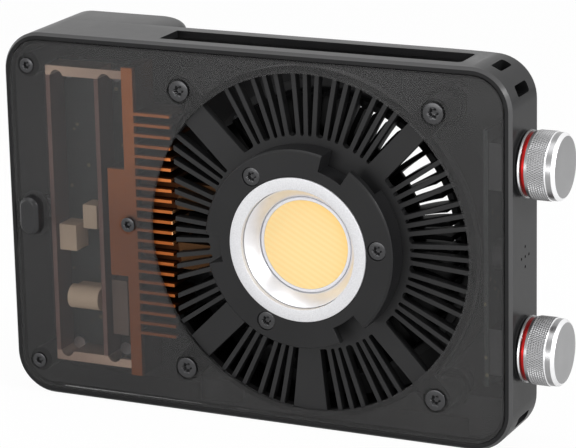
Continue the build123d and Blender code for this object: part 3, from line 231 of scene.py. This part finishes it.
# ---------------------------------------------------------------- finishes
def powder_coat(name, base, roughness, grain_scale, grain_depth, gloss, painted_highlight_depths=None):
    """Dark coated metal: fine orange-peel grain, cloudy wear and rubbed spots.

    Between the two given depths, on the front chamfer, it is lighter: a painted highlight.
    """
    p = paint(name)
    cloud = p.noise(45, 4)
    grain = p.noise(grain_scale, 2, 0.7)
    rub = p.noise(260, 5, 0.7)
    lighter = scaled(base, 1.45, 0.004)
    tone = p.mix(cloud, scaled(base, 0.78), lighter)
    tone = p.mix((grain - 0.5).size() * 0.5, tone, lighter)
    if painted_highlight_depths:
        _, depth, _ = p.axes(p.place())
        chamfer = (depth > painted_highlight_depths[0]) * (depth < painted_highlight_depths[1])
        # the front chamfer is painted a lighter grey: a painted highlight
        tone = p.mix(chamfer * (0.75 + cloud * 0.25), tone, (0.075, 0.075, 0.076))
    return p.finish(
        base_color=tone,
        roughness=roughness - 0.06 + cloud * 0.08 + rub * 0.06,
        normal=p.bump(grain, 0.5, grain_depth * mm),
        specular_ior_level=gloss,
    )


def smoked_plastic(name):
    """Smoked see-through cover: satin front, uneven tint and faint haze."""
    p = paint(name)
    cloud = p.noise(22, 3)
    haze = p.noise(240, 4, 0.6)
    return p.finish(
        base_color=p.mix(cloud, (0.034, 0.034, 0.035), (0.058, 0.057, 0.057)),
        roughness=0.3 + haze * 0.08 + cloud * 0.06,
        alpha=0.28 + cloud * 0.06 + haze * 0.03,
        normal=p.bump(cloud, 0.2, 0.03 * mm),
    )


def plastic(name, base, roughness, grain_scale, grain_depth, spread, gloss):
    """Moulded plastic with a fine eroded texture and slightly uneven tone."""
    p = paint(name)
    cloud = p.noise(120, 4)
    grain = p.noise(grain_scale, 3, 0.65)
    return p.finish(
        base_color=p.mix(cloud, scaled(base, 1 - spread), scaled(base, 1 + spread)),
        roughness=roughness - 0.05 + grain * 0.1,
        normal=p.bump(grain, 0.4, grain_depth * mm),
        specular_ior_level=gloss,
    )


def blasted_white(name):
    """Bead-blasted silver-white ring: tiny bright dimples."""
    p = paint(name)
    dimple = p.specks(2600)
    cloud = p.noise(160, 3)
    sparkle = p.noise(2400, 2, 0.8)
    tone = p.mix(sparkle, (0.44, 0.44, 0.455), (0.80, 0.80, 0.815))
    return p.finish(
        base_color=p.mix(cloud * 0.35, tone, (0.56, 0.56, 0.575)),
        metallic=0.5,
        roughness=0.42 + sparkle * 0.16,
        normal=p.bump(dimple, 0.5, 0.03 * mm),
    )


def polished_cone(name):
    """Polished reflector with the faint haze of spun metal."""
    p = paint(name)
    haze = p.noise(420, 4, 0.6)
    line = p.noise(900, 2, 0.5, p.place(scale=(1, 6, 1)))
    return p.finish(
        base_color=p.mix(haze, (0.72, 0.72, 0.745), (0.84, 0.84, 0.865)),
        metallic=0.7,
        roughness=0.24 + haze * 0.12,
        normal=p.bump(line, 0.15, 0.01 * mm),
    )


def glazed_white(name):
    """Glossy white silicone dam."""
    p = paint(name)
    cloud = p.noise(300, 3)
    return p.finish(
        base_color=p.mix(cloud, (0.72, 0.72, 0.76), (0.82, 0.82, 0.86)),
        roughness=0.22 + cloud * 0.08,
        normal=p.bump(cloud, 0.2, 0.04 * mm),
    )


def phosphor(name, centre):
    """Yellow gel over rows of dies: faint slanted stripes and a deeper rim on one side."""
    edge, row_pitch = 11.65 * mm, 1.42 * mm
    p = paint(name)
    x, _, z = p.axes(p.place(centre))
    stripe = ((x * 0.47 + z * 0.88) * (2 * math.pi / row_pitch)).sine() * 0.5 + 0.5
    radius = (x * x + z * z).root() / edge
    side = ((x * 0.8 + z * 0.6) / edge).larger(0.0)
    rim = radius**6.0 * (side * 0.7 + 0.12)
    cloud = p.noise(700, 3)
    body = p.mix(stripe * 0.55 + cloud * 0.2, (1.0, 0.70, 0.29), (1.0, 0.77, 0.365))
    return p.finish(
        base_color=p.mix(rim.smaller(1.0), body, (1.0, 0.62, 0.17)),
        roughness=0.38 + cloud * 0.1,
        normal=p.bump(cloud, 0.15, 0.03 * mm),
    )


def metal(name, base, roughness, stretch, scale, spread, line_depth, metallic):
    """Metal with drawn or turned lines along one direction and slight tarnish."""
    p = paint(name)
    line = p.noise(scale, 3, 0.6, p.place(scale=stretch))
    stain = p.noise(190, 4, 0.6)
    tone = p.mix(line, scaled(base, 1 - spread), scaled(base, 1 + spread))
    return p.finish(
        base_color=p.mix((stain - 0.55).larger(0.0) * 1.6, tone, scaled(base, 0.62)),
        metallic=metallic,
        roughness=roughness - 0.05 + line * 0.1 + stain * 0.05,
        normal=p.bump(line, 0.3, line_depth * mm),
    )


def fin_copper(name, front, hub):
    """Oxidised copper with painted light: a painted highlight on the fins in the open round,
    painted shade deeper between the fins and a lighter top.
    """
    shade_depth, painted_light_height, open_radius = 2.2 * mm, 24 * mm, 38.9 * mm
    p = paint(name)
    x, depth, z = p.axes(p.place())
    line = p.noise(1500, 3, 0.6, p.place(scale=(0.15, 1, 1)))
    stain = p.noise(190, 4, 0.6)
    # painted shade that deepens behind the front of the fins
    into = ((depth - front) / shade_depth).larger(0.0).smaller(1.0)
    # painted light: the covered fins are lighter towards the top
    painted_top_light = ((z - hub.z) / painted_light_height).larger(0.0).smaller(1.0)
    covered = p.mix(line, (0.29, 0.08, 0.02), (0.37, 0.11, 0.03))
    covered = p.mix(painted_top_light, covered, (0.58, 0.19, 0.058))
    from_hub = ((x - hub.x) * (x - hub.x) + (z - hub.z) * (z - hub.z)).root()
    # painted highlight: the fins in the open round are bright orange
    edge = p.mix(from_hub > open_radius, (0.98, 0.50, 0.22), covered)
    tone = p.mix((stain - 0.55).larger(0.0) * 1.6, edge, (0.24, 0.08, 0.03))
    return p.finish(
        # painted shade between the fins, deeper behind their front
        base_color=p.mix(into * 0.93, tone, (0.02, 0.009, 0.005)),
        metallic=1.0,
        roughness=0.33 + line * 0.1 + into * 0.2,
        normal=p.bump(line, 0.3, 0.008 * mm),
    )


def frame_with_painted_shade(name, low, high):
    """Plated frame: light top and bottom bars with painted light fading along them, upright rails
    in a painted shade of dark brown.
    """
    bar_width = 2.6 * mm
    width, height = high.x - low.x, high.z - low.z
    p = paint(name)
    x, _, z = p.axes(p.place((low + high) / 2))
    bar = z.size() > height / 2 - bar_width
    across = ((x + width / 2) / width).larger(0.0).smaller(1.0)
    upper = z > 0.0
    # painted light: the top bar grows darker to the right, the bottom bar lighter to the right
    painted_light_fade = upper * (1.0 - across * 0.45) + (1.0 - upper) * (0.45 + across * 0.5)
    line = p.noise(1200, 3, 0.6, p.place(scale=(1, 1, 0.1)))
    stain = p.noise(190, 4, 0.6)
    light = p.mix(line, (0.80, 0.57, 0.44), (0.98, 0.72, 0.55))
    # painted shade: the dark brown of the upright rails
    dark = p.mix(stain, (0.20, 0.115, 0.10), (0.30, 0.17, 0.145))
    return p.finish(
        base_color=p.mix(bar * painted_light_fade, dark, light),
        metallic=0.9,
        roughness=0.4 + stain * 0.08,
        normal=p.bump(line, 0.3, 0.006 * mm),
    )


def turned_silver(name, ends, centre_y, centre_zs):
    """Clear anodised aluminium: turning rings on the end faces, fine lines round the sides.

    The lip, the collar at the end of the knurl and the front bevel are painted bright: a painted
    highlight.
    """
    ring_pitch, lathe_pitch = 0.24 * mm, 0.21 * mm
    start, end = ends
    p = paint(name)
    x, y, z = p.axes(p.place((0, centre_y, 0)))
    first, second = [(y * y + (z - middle) * (z - middle)).root() for middle in centre_zs]
    radius = first.smaller(second)
    ring = (radius * (2 * math.pi / ring_pitch)).sine()
    lathe = (x * (2 * math.pi / lathe_pitch)).sine()
    waver = p.noise(2600, 2)
    stain = p.noise(150, 3)
    # masks of the painted highlight on the lip, the collar and the front bevel
    lip = x < start + 0.5 * mm
    collar = (x > start + 6.95 * mm) * (x < start + 7.3 * mm)
    bevel = (x > end - 0.85 * mm) * (radius > 7.7 * mm)
    satin = p.mix(stain, (0.27, 0.27, 0.275), (0.35, 0.35, 0.355))
    return p.finish(
        # the near-white colour is the painted highlight
        base_color=p.mix(bevel.larger(lip).larger(collar), satin, (0.88, 0.88, 0.89)),
        metallic=1.0,
        roughness=0.25 + stain * 0.07 + waver * 0.05,
        normal=p.bump(ring * 0.6 + lathe * 0.4 + waver * 0.7, 0.35, 0.012 * mm),
    )


def circuit_board(name):
    """Dark solder mask over copper tracks, with pads and vias."""
    p = paint(name)
    cells = p.add(
        "ShaderNodeTexVoronoi",
        {"distance": "CHEBYCHEV"},
        {"Vector": p.place(scale=(1, 0.2, 1)), "Scale": 420.0},
    )
    track = Signal(p, cells.outputs["Distance"]) > 0.42
    pad = p.specks(310) < 0.17
    cloud = p.noise(90, 3)
    mask = p.mix(track * 0.7, (0.010, 0.016, 0.015), (0.014, 0.026, 0.022))
    return p.finish(
        base_color=p.mix(pad * 0.6, mask, (0.34, 0.27, 0.17)),
        metallic=pad * 0.9,
        roughness=0.32 + cloud * 0.12,
        normal=p.bump(track * 0.5 + pad * 0.5, 0.4, 0.03 * mm),
    )


def make_finishes():
    """Every material slot of the record by its name."""
    # depths of the front chamfer that carries a painted highlight
    casing_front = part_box("main_housing")[0].y
    painted_highlight_depths = (casing_front + 0.08 * mm, casing_front + 1.15 * mm)
    knobs = [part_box(side + "_dial_knob") for side in ("lower", "upper")]
    knob_low, knob_high = knobs[0]
    knob_zs = [(low.z + high.z) / 2 for low, high in knobs]
    glow_low, glow_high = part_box("led_phosphor")
    hub = (glow_low + glow_high) / 2
    # colour, roughness, grain spots per metre, grain depth, gloss, depths of the chamfer's painted
    # highlight
    coats = {
        "housing_black": ((0.010, 0.010, 0.0105), 0.29, 3400, 0.003, 0.12, painted_highlight_depths),
        "grille_dark": ((0.009, 0.009, 0.0095), 0.5, 2800, 0.010, 0.25),
        "hub_dark": ((0.007, 0.007, 0.0075), 0.36, 2300, 0.010, 0.23),
    }
    # colour, roughness, grain spots per metre, grain depth, spread of the tone, gloss
    plastics = {
        "ceramic_white": ((0.80, 0.80, 0.78), 0.5, 1800, 0.01, 0.06, 0.5),
        "fan_black": ((0.002, 0.002, 0.0022), 0.5, 2200, 0.001, 0.25, 0.03),
        "coil_tan": ((0.92, 0.67, 0.475), 0.4, 1500, 0.02, 0.12, 0.5),
        "ferrite": ((0.20, 0.13, 0.10), 0.5, 2200, 0.03, 0.2, 0.5),
        "capacitor_sleeve": ((0.045, 0.05, 0.08), 0.28, 1500, 0.006, 0.25, 0.5),
        "socket_black": ((0.03, 0.03, 0.032), 0.45, 2600, 0.02, 0.25, 0.5),
        "display_glass": ((0.012, 0.012, 0.016), 0.07, 900, 0.001, 0.3, 0.5),
        "seat_black": ((0.012, 0.012, 0.013), 0.6, 2600, 0.02, 0.25, 0.5),
        "button_black": ((0.016, 0.016, 0.017), 0.26, 3000, 0.006, 0.25, 0.35),
    }
    # colour, roughness, stretch of the lines (small is long), lines per metre, spread of the
    # tone, depth of the lines, metallic
    metals = {
        "steel": ((0.42, 0.42, 0.44), 0.34, (1, 1, 0.2), 1800, 0.16, 0.008, 1.0),
        "screw_black": ((0.05, 0.05, 0.052), 0.22, (1, 1, 1), 2200, 0.3, 0.01, 0.7),
        "magnet_grey": ((0.2, 0.2, 0.21), 0.5, (1, 1, 1), 2200, 0.16, 0.008, 1.0),
        "lamination": ((0.42, 0.42, 0.44), 0.38, (0.2, 8, 0.2), 900, 0.16, 0.008, 1.0),
        "brass_bright": ((0.84, 0.64, 0.30), 0.26, (1, 1, 0.2), 1500, 0.16, 0.008, 1.0),
        "ring_red": ((0.40, 0.017, 0.016), 0.38, (0.3, 1, 1), 1500, 0.1, 0.008, 1.0),
    }
    # the finishes that one kind of piece alone has, with where their pattern lies
    own = {
        "panel_smoked": (smoked_plastic,),
        "white_trim": (blasted_white,),
        "reflector_bright": (polished_cone,),
        "led_white": (glazed_white,),
        "phosphor_yellow": (phosphor, hub),
        "copper": (fin_copper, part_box("fin_comb")[0].y, hub),
        "board_green": (circuit_board,),
        "shield_tin": (frame_with_painted_shade, *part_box("driver_frame")),
        "knob_silver": (
            turned_silver, (knob_low.x, knob_high.x), (knob_low.y + knob_high.y) / 2, knob_zs
        ),
    }
    made = {name: powder_coat(name, *row) for name, row in coats.items()}
    made |= {name: plastic(name, *row) for name, row in plastics.items()}
    made |= {name: metal(name, *row) for name, row in metals.items()}
    made |= {name: maker(name, *places) for name, (maker, *places) in own.items()}
    return made


finishes = make_finishes()
slot_of = {row["node"]: row["material_slot"] for row in frame["record"]["subparts"]}
body_of = {
    node: body for body, nodes in frame["record"]["behaviour"]["bodies"].items() for node in nodes
}
for node_name, node_object in frame["nodes"].items():
    node_object.data.materials.clear()
    node_object.data.materials.append(finishes[slot_of[node_name]])


# ---------------------------------------------------------------- mesh helpers
def new_piece(name, mesh, node):
    """Object of a finished mesh that stands for a node, with its finish and on its body."""
    piece = bpy.data.objects.new(name, mesh)
    bpy.context.scene.collection.objects.link(piece)
    mesh.materials.clear()
    mesh.materials.append(finishes[slot_of[node]])
    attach(piece, body_of[node])
    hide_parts(node)
    return piece


def grid_mesh(name, points):
    """Mesh of grids of points (copies, rows, columns): each cell is one four-sided face.

    The corners of cell (i, j) are points (i, j), (i, j+1), (i+1, j+1) and (i+1, j), and the
    last row is joined to the first.
    """
    rows, columns = points.shape[-3:-1]
    copies = points.size // (rows * columns * 3)
    index = np.arange(rows * columns).reshape(rows, columns)
    index = np.vstack([index, index[:1]])
    faces = np.stack(
        [index[:-1, :-1], index[:-1, 1:], index[1:, 1:], index[1:, :-1]], axis=-1
    ).reshape(-1, 4)
    faces = (faces + np.arange(copies)[:, None, None] * rows * columns).reshape(-1, 4)
    mesh = bpy.data.meshes.new(name)
    mesh.vertices.add(copies * rows * columns)
    mesh.vertices.foreach_set("co", points.reshape(-1).astype(np.float32))
    mesh.loops.add(faces.size)
    mesh.loops.foreach_set("vertex_index", faces.reshape(-1).astype(np.int32))
    mesh.polygons.add(len(faces))
    mesh.polygons.foreach_set("loop_start", (np.arange(len(faces)) * 4).astype(np.int32))
    mesh.update(calc_edges=True)
    mesh.validate()
    return mesh


def welded(mesh):
    """Doubles merged, and faces turned outwards."""
    work = bmesh.new()
    work.from_mesh(mesh)
    bmesh.ops.remove_doubles(work, verts=work.verts, dist=made_weld)
    bmesh.ops.recalc_face_normals(work, faces=work.faces)
    work.to_mesh(mesh)
    work.free()
    return mesh


def sharpen(mesh, degrees):
    """Edges that turn by more than an angle are marked sharp, and the rest is smooth."""
    work = bmesh.new()
    work.from_mesh(mesh)
    limit = math.radians(degrees)
    for face in work.faces:
        face.smooth = True
    for edge in work.edges:
        edge.smooth = len(edge.link_faces) == 2 and edge.calc_face_angle(0.0) < limit
    work.to_mesh(mesh)
    work.free()
    return mesh


def weigh_back_edges(work, node, right_of):
    """Bevel weight 1 on the edges of the back face along the outline, right of a place."""
    plane, upright, side_reach, end_reach = 0.01 * mm, 0.1, 10 * mm, 0.2 * mm
    weight = work.edges.layers.float.new("bevel_weight_edge")
    low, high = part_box(node)
    middle = (low + high) / 2
    for edge in work.edges:
        ends = [vertex.co for vertex in edge.verts]
        at_back = min(end.y for end in ends) > high.y - plane
        if not at_back or min(end.x for end in ends) <= right_of:
            continue
        outward = (ends[0] + ends[1]) / 2 - middle
        walls = [face.normal for face in edge.link_faces if abs(face.normal.y) < upright]
        outer = any(wall.x * outward.x + wall.z * outward.z > 0 for wall in walls)
        near_side = max(end.x for end in ends) > high.x - side_reach
        off_ends = min(abs(end.z - side) for end in ends for side in (low.z, high.z))
        edge[weight] = 1.0 if outer and (near_side or off_ends < end_reach) else 0.0


def softened(node, width, segments=2, back_round=0.0, back_from=0.0):
    """Copy of a CAD node with its edges rounded off by a width, in place of the node.

    Edges of the back face that run along the outline, right of a place, take a wider round.
    """
    mesh = frame["nodes"][node].data.copy()
    work = bmesh.new()
    work.from_mesh(mesh)
    bmesh.ops.remove_doubles(work, verts=work.verts, dist=cad_weld)
    bmesh.ops.dissolve_limit(
        work, angle_limit=math.radians(flat_angle), verts=work.verts, edges=work.edges
    )
    if back_round:
        weigh_back_edges(work, node, back_from)
    work.to_mesh(mesh)
    work.free()
    piece = new_piece(node + "_soft", sharpen(mesh, edge_angle), node)
    if back_round:
        wide = piece.modifiers.new("back edges", "BEVEL")
        wide.width = back_round * mm
        wide.segments = 5
        wide.limit_method = "WEIGHT"
        wide.use_clamp_overlap = True
    bevel = piece.modifiers.new("edges", "BEVEL")
    bevel.width = width * mm
    bevel.segments = segments
    bevel.limit_method = "ANGLE"
    bevel.angle_limit = math.radians(edge_angle)
    bevel.use_clamp_overlap = True
    bevel.harden_normals = True


def revolved(name, profile, centre, along, steps, relief=None):
    """Profile of (radius, distance) corners carried round an axis.

    Point (i, j) = centre + along * distance_j + radius_j * (cos a_i * e + sin a_i * f), with
    a_i = 2 pi i / steps and e, f square to the axis. A relief adds to the radius.
    """
    profile = np.asarray(profile, float) * mm
    along = np.asarray(along, float)
    e = np.array([0.0, 0.0, 1.0])
    f = np.cross(along, e)
    angle = 2 * np.pi * np.arange(steps) / steps
    radius = np.broadcast_to(profile[:, 0], (steps, len(profile))).copy()
    if relief is not None:
        radius += relief(angle[:, None], profile[None, :, 1])
    around = np.cos(angle)[:, None] * e + np.sin(angle)[:, None] * f
    points = (
        np.asarray(centre, float)
        + profile[None, :, 1, None] * along
        + radius[:, :, None] * around[:, None, :]
    )
    return sharpen(welded(grid_mesh(name, points)), 40)


def rounded(corners, radius):
    """Profile with its corners rounded: each becomes an arc, drawn as a quadratic curve.

    (1 - t)^2 * start + 2 t (1 - t) * corner + t^2 * end, with start and end a radius away from
    the corner, or nearly half of a shorter side.
    """
    corners = np.asarray(corners, float)
    result = [corners[0]]
    t = np.linspace(0, 1, 5)[:, None]
    for before, here, after in zip(corners[:-2], corners[1:-1], corners[2:]):
        back = before - here
        on = after - here
        reach = min(radius, 0.45 * np.linalg.norm(back), 0.45 * np.linalg.norm(on))
        start = here + back / np.linalg.norm(back) * reach
        end = here + on / np.linalg.norm(on) * reach
        result.extend((1 - t) ** 2 * start + 2 * t * (1 - t) * here + t**2 * end)
    result.append(corners[-1])
    return np.array(result)


# ---------------------------------------------------------------- dials
def knurl(angle, distance):
    """Diamond knurl: small pyramids where two sets of slanted V grooves cross.

    depth * (tri(n a / 2 pi + x / p) + tri(n a / 2 pi - x / p) - 1.35), with tri a triangle
    wave, n pyramids round and p the pitch along, faded out at both ends of the band.
    """
    pitch, depth = 1.25 * mm, 0.16 * mm
    start, end, fade_length = 2.53 * mm, 6.99 * mm, 0.12 * mm
    phase = 0.76

    def tri(value):
        return np.abs((value % 1.0) - 0.5) * 2

    turns = angle * knurl_count / (2 * np.pi)
    slant = distance / pitch + phase
    height = tri(turns + slant) + tri(turns - slant) - 1.35
    fade_in = np.clip((distance - start) / fade_length, 0, 1)
    fade_out = np.clip((end - distance) / fade_length, 0, 1)
    return depth * fade_in * fade_out * height


def dial(name, node):
    """Knob turned from one piece: lip, groove, band, knurled grip, nose and bevelled face.

    Its profile gives (radius, distance from the lip's back).
    """
    low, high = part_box(node)
    centre = (low.x, (low.y + high.y) / 2, (low.z + high.z) / 2)
    bore, skirt, groove, lip, grip, crest = 3.02, 6.4, 7.15, 8.5, 8.62, 8.65
    lip_end, groove_end, hollow_end, band_end, bore_end, face = 0.65, 1.7, 2.4, 2.5, 7.2, 9.55
    knurl_start, knurl_end, knurl_rows = 2.52, 7.02, 61
    bevel, bevel_length = 0.7, 0.75
    inside = [(0.0, bore_end), (bore, bore_end), (bore, hollow_end), (skirt, hollow_end),
              (skirt, 0.0)]
    back = rounded(
        [(skirt, 0.0), (lip, 0.0), (lip, lip_end), (groove, lip_end), (groove, groove_end),
         (lip, groove_end), (lip, band_end), (grip, band_end)],
        0.12,
    )
    along = np.linspace(knurl_start, knurl_end, knurl_rows)
    knurled = np.stack([np.full(knurl_rows, crest), along], axis=1)
    nose = rounded(
        [(grip, knurl_end + 0.02), (lip, knurl_end + 0.04), (lip, face - bevel_length),
         (lip - bevel, face), (3.4, face), (0.0, face)],
        0.14,
    )
    profile = np.vstack([inside, back[1:], knurled, nose])
    on_grip = profile[None, :, 0] > grip - 0.02

    def relief(angle, distance):
        return knurl(angle, distance) * on_grip

    mesh = revolved(name, profile, centre, (1, 0, 0), knurl_count * 6, relief)
    new_piece(name, mesh, node)


def dial_band(name, node):
    """Red ring in the knob's groove: its outside is crowned as half a sine wave."""
    low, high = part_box(node)
    centre = (low.x, (low.y + high.y) / 2, (low.z + high.z) / 2)
    outer = (high.z - low.z) / 2 / mm
    width = (high.x - low.x) / mm
    inner, crown_height = outer - 0.8, 0.08
    t = np.linspace(0, 1, 9)
    crown = np.stack(
        [outer - crown_height + crown_height * np.sin(np.pi * t), width * (0.02 + 0.96 * t)],
        axis=1,
    )
    profile = np.vstack([[(inner, 0.0)], crown, [(inner, width), (inner, 0.0)]])
    new_piece(name, revolved(name, profile, centre, (1, 0, 0), 96), node)


# ---------------------------------------------------------------- screws
def loose_parts(node):
    """Centres (x, z) of the separate solids of a CAD node."""
    work = bmesh.new()
    work.from_mesh(frame["nodes"][node].data)
    bmesh.ops.remove_doubles(work, verts=work.verts, dist=cad_weld)
    met = set()
    centres = []
    for start in work.verts:
        if start in met:
            continue
        met.add(start)
        part = [start]
        for vertex in part:
            near = {edge.other_vert(vertex) for edge in vertex.link_edges} - met
            met |= near
            part.extend(near)
        across = [vertex.co.x for vertex in part]
        upright = [vertex.co.z for vertex in part]
        centres.append(((min(across) + max(across)) / 2, (min(upright) + max(upright)) / 2))
    work.free()
    return centres


def screws(name, node, head_radius, head_height, stem_radius, recess_radius, facing=1):
    """Screws with slightly domed heads and six-lobed recesses, facing the front or the back.

    A profile of (radius, depth) is carried round each screw's axis. In the recess its radius is
    multiplied by 1 + lobe * cos 6a, and the face falls off as the square of the radius.
    """
    lobe, land, shoulder, dome, corner, tip = 0.2, 0.05, 0.22, 0.16, 0.2, 0.3
    low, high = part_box(node)
    length = (high.y - low.y) / mm
    across = np.linspace(recess_radius * (1 + lobe) + land, head_radius - shoulder, 7)
    face = np.stack([across, dome * (across / head_radius) ** 2], axis=1)
    recess = np.array(
        [(0.0, 1.0), (recess_radius * 0.5, 0.95), (recess_radius * 0.9, 0.3), (recess_radius, 0.12)]
    )
    edge = rounded(
        [face[-1], (head_radius, dome + 0.02), (head_radius, head_height),
         (stem_radius, head_height)],
        corner,
    )
    end = np.array([(stem_radius, length - tip), (stem_radius - tip, length), (0.0, length)])
    profile = np.vstack([recess, face, edge[1:], end]) * mm
    steps = 72
    angle = 2 * np.pi * np.arange(steps) / steps
    star = np.ones((steps, len(profile)))
    star[:, : len(recess)] += lobe * np.cos(6 * angle)[:, None]
    radius = star * profile[None, :, 0]
    shape = np.stack(
        [
            radius * np.cos(angle)[:, None],
            np.broadcast_to(facing * profile[None, :, 1], radius.shape),
            radius * np.sin(angle)[:, None],
        ],
        axis=-1,
    )
    head = low.y if facing > 0 else high.y
    centres = np.array([(x, head, z) for x, z in loose_parts(node)])
    mesh = sharpen(welded(grid_mesh(name, shape[None] + centres[:, None, None])), 38)
    new_piece(name, mesh, node)


def all_screws():
    """The ten screws of the front and the four that hold the grip from the back."""
    screws("large_screws", "panel_screws_large", 2.7, 1.0, 1.5, 1.28)
    screws("small_screws", "panel_screws_small", 1.95, 0.7, 1.1, 0.92)
    screws("ring_screws", "hub_screws", 2.4, 1.0, 1.25, 1.12)
    screws("back_screws", "grip_screws", 1.95, 1.0, 1.1, 0.92, facing=-1)


# ---------------------------------------------------------------- light engine
def light_engine():
    """Trim ring, polished cone, dam and phosphor, turned round the axis of the light.

    Each profile gives (radius, distance behind the front of its node).
    """
    ring_low, ring_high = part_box("led_trim_ring")
    axis = (ring_low + ring_high) / 2

    def depth(node):
        low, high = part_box(node)
        return (high.y - low.y) / mm

    def turned(name, node, profile, steps):
        centre = (axis.x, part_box(node)[0].y, axis.z)
        new_piece(name, revolved(name, profile, centre, (0, 1, 0), steps), node)

    back = depth("led_trim_ring")
    opening, skirt, outside, web = 15.6, 17.6, 18.8, 1.9
    ring = [(opening, web), (opening, 0.0), (outside, 0.0), (outside, back), (skirt, back),
            (skirt, web), (opening, web)]
    turned("trim_ring", "led_trim_ring", rounded(ring, 0.16), 180)

    back = depth("led_reflector")
    seat = back - 0.8
    lip = (ring_low.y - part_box("led_reflector")[0].y) / mm + 1.35
    throat, mouth = 12.72, 15.5
    cone = [(throat, back), (throat, seat), (mouth - 0.12, lip), (mouth, lip + 0.1),
            (mouth, seat), (outside, seat), (outside, back), (throat, back)]
    turned("reflector_cone", "led_reflector", rounded(cone, 0.12), 180)

    back = depth("led_dam")
    inner, outer, crown_height = 11.65, 12.5, 0.3
    t = np.linspace(0, np.pi, 13)
    crown = np.stack(
        [(outer + inner + (outer - inner) * np.cos(t)) / 2, crown_height * (1 - np.sin(t))],
        axis=1,
    )
    dam = np.vstack([[(outer, back)], crown, [(inner, back), (outer, back)]])
    turned("dam", "led_dam", dam, 160)

    back = depth("led_phosphor")
    edge, dome_height = 11.63, 0.05
    t = np.linspace(0, 1, 17)
    dome = np.stack([edge * t, dome_height * t**2], axis=1)
    turned("phosphor_disc", "led_phosphor", np.vstack([dome, [(edge, back), (0.0, back)]]), 160)


# ---------------------------------------------------------------- camera, light and floor
def aim_camera():
    """Camera in front, to the right and above, with a slight roll."""
    azimuth, elevation, roll = (math.radians(angle) for angle in (25.49, 15.21, -1.275))
    target = Vector((0.02307, -0.00945, 0.06195))
    distance = 0.7456
    back = Vector(
        (
            math.sin(azimuth) * math.cos(elevation),
            -math.cos(azimuth) * math.cos(elevation),
            math.sin(elevation),
        )
    )
    right = Vector((0, 0, 1)).cross(back).normalized()
    up = back.cross(right)
    turned_right = right * math.cos(roll) + up * math.sin(roll)
    turned_up = up * math.cos(roll) - right * math.sin(roll)
    data = bpy.data.cameras.new("camera")
    data.lens = 184.4
    data.sensor_width = 36.0
    data.shift_x = 0.0105
    data.shift_y = -0.0524
    camera = bpy.data.objects.new("camera", data)
    bpy.context.scene.collection.objects.link(camera)
    place = target + back * distance
    camera.matrix_world = Matrix(
        (
            (turned_right.x, turned_up.x, back.x, place.x),
            (turned_right.y, turned_up.y, back.y, place.y),
            (turned_right.z, turned_up.z, back.z, place.z),
            (0, 0, 0, 1),
        )
    )
    bpy.context.scene.camera = camera


def softbox(name, place, aim, size, power):
    """Rectangular lamp that faces a point: lengths in metres, power in watts."""
    data = bpy.data.lights.new(name, "AREA")
    data.shape = "RECTANGLE"
    data.size, data.size_y = size
    data.energy = power
    lamp = bpy.data.objects.new(name, data)
    bpy.context.scene.collection.objects.link(lamp)
    lamp.location = place
    lamp.rotation_mode = "QUATERNION"
    lamp.rotation_quaternion = (Vector(aim) - Vector(place)).to_track_quat("-Z", "Y")


def light_scene():
    """White studio: bright surroundings for reflections, softer light on the object itself."""
    world = bpy.data.worlds.new("studio")
    bpy.context.scene.world = world
    p = Paint(world)
    path = p.add("ShaderNodeLightPath")
    seen = Signal(p, path.outputs["Is Camera Ray"])
    seen = seen.larger(Signal(p, path.outputs["Is Glossy Ray"]))
    seen = seen.larger(Signal(p, path.outputs["Is Transmission Ray"]))
    back = p.add(
        "ShaderNodeBackground", None, {"Color": (1, 1, 1, 1), "Strength": seen * 0.5 + 0.5}
    )
    p.add("ShaderNodeOutputWorld", None, {"Surface": back.outputs[0]})
    middle = (0.02, 0.0, 0.05)
    softbox("top_box", (-0.1, -0.16, 0.8), middle, (0.7, 0.4), 1.6)
    softbox("left_box", (-0.8, -0.5, 0.35), middle, (0.4, 0.6), 1.5)
    softbox("corner_key", (0.73, -0.11, 0.45), (0.08, 0.0, 0.09), (0.16, 0.16), 4.0)
    softbox("right_strip", (0.88, -0.08, 0.17), (0.08, 0.0, 0.05), (0.12, 0.32), 0.8)
    softbox("low_box", (-0.15, -0.9, 0.12), middle, (0.5, 0.25), 1.9)


def lay_floor():
    """Pale floor under the object: white where it is open, with a soft shadow."""
    reach = 4.0
    corners = [(-reach, -reach), (reach, -reach), (reach, reach), (-reach, reach)]
    mesh = bpy.data.meshes.new("floor")
    mesh.from_pydata([(x, y, cad_low.z) for x, y in corners], [], [(0, 1, 2, 3)])
    floor = bpy.data.objects.new("floor", mesh)
    bpy.context.scene.collection.objects.link(floor)
    p = paint("floor_white")
    path = p.add("ShaderNodeLightPath")
    seen = Signal(p, path.outputs["Is Camera Ray"])
    plain = p.add("ShaderNodeBsdfDiffuse", None, {"Color": (0.9, 0.9, 0.9, 1)})
    glow = p.add("ShaderNodeEmission", None, {"Color": (1, 1, 1, 1), "Strength": 1.0})
    both = p.add(
        "ShaderNodeMixShader", None, {0: seen * 0.96, 1: plain.outputs[0], 2: glow.outputs[0]}
    )
    p.add("ShaderNodeOutputMaterial", None, {"Surface": both.outputs[0]})
    mesh.materials.append(p.owner)


aim_camera()
light_scene()
lay_floor()
light_engine()
for side in ("lower", "upper"):
    dial(side + "_dial", side + "_dial_knob")
    dial_band(side + "_dial_band", side + "_dial_ring")
all_screws()
grip_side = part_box("grip_shell")[1].x
softened("main_housing", 0.16, back_round=1.0, back_from=grip_side + 1 * mm)
softened("grip_shell", 0.2)
softened("front_panel", 0.24)
softened("front_grille", 0.1)
softened("fin_comb", 0.2)
softened("bayonet_hub", 0.12)
softened("release_button", 0.24, segments=3)

view = bpy.context.scene.view_settings
view.view_transform = "Standard"
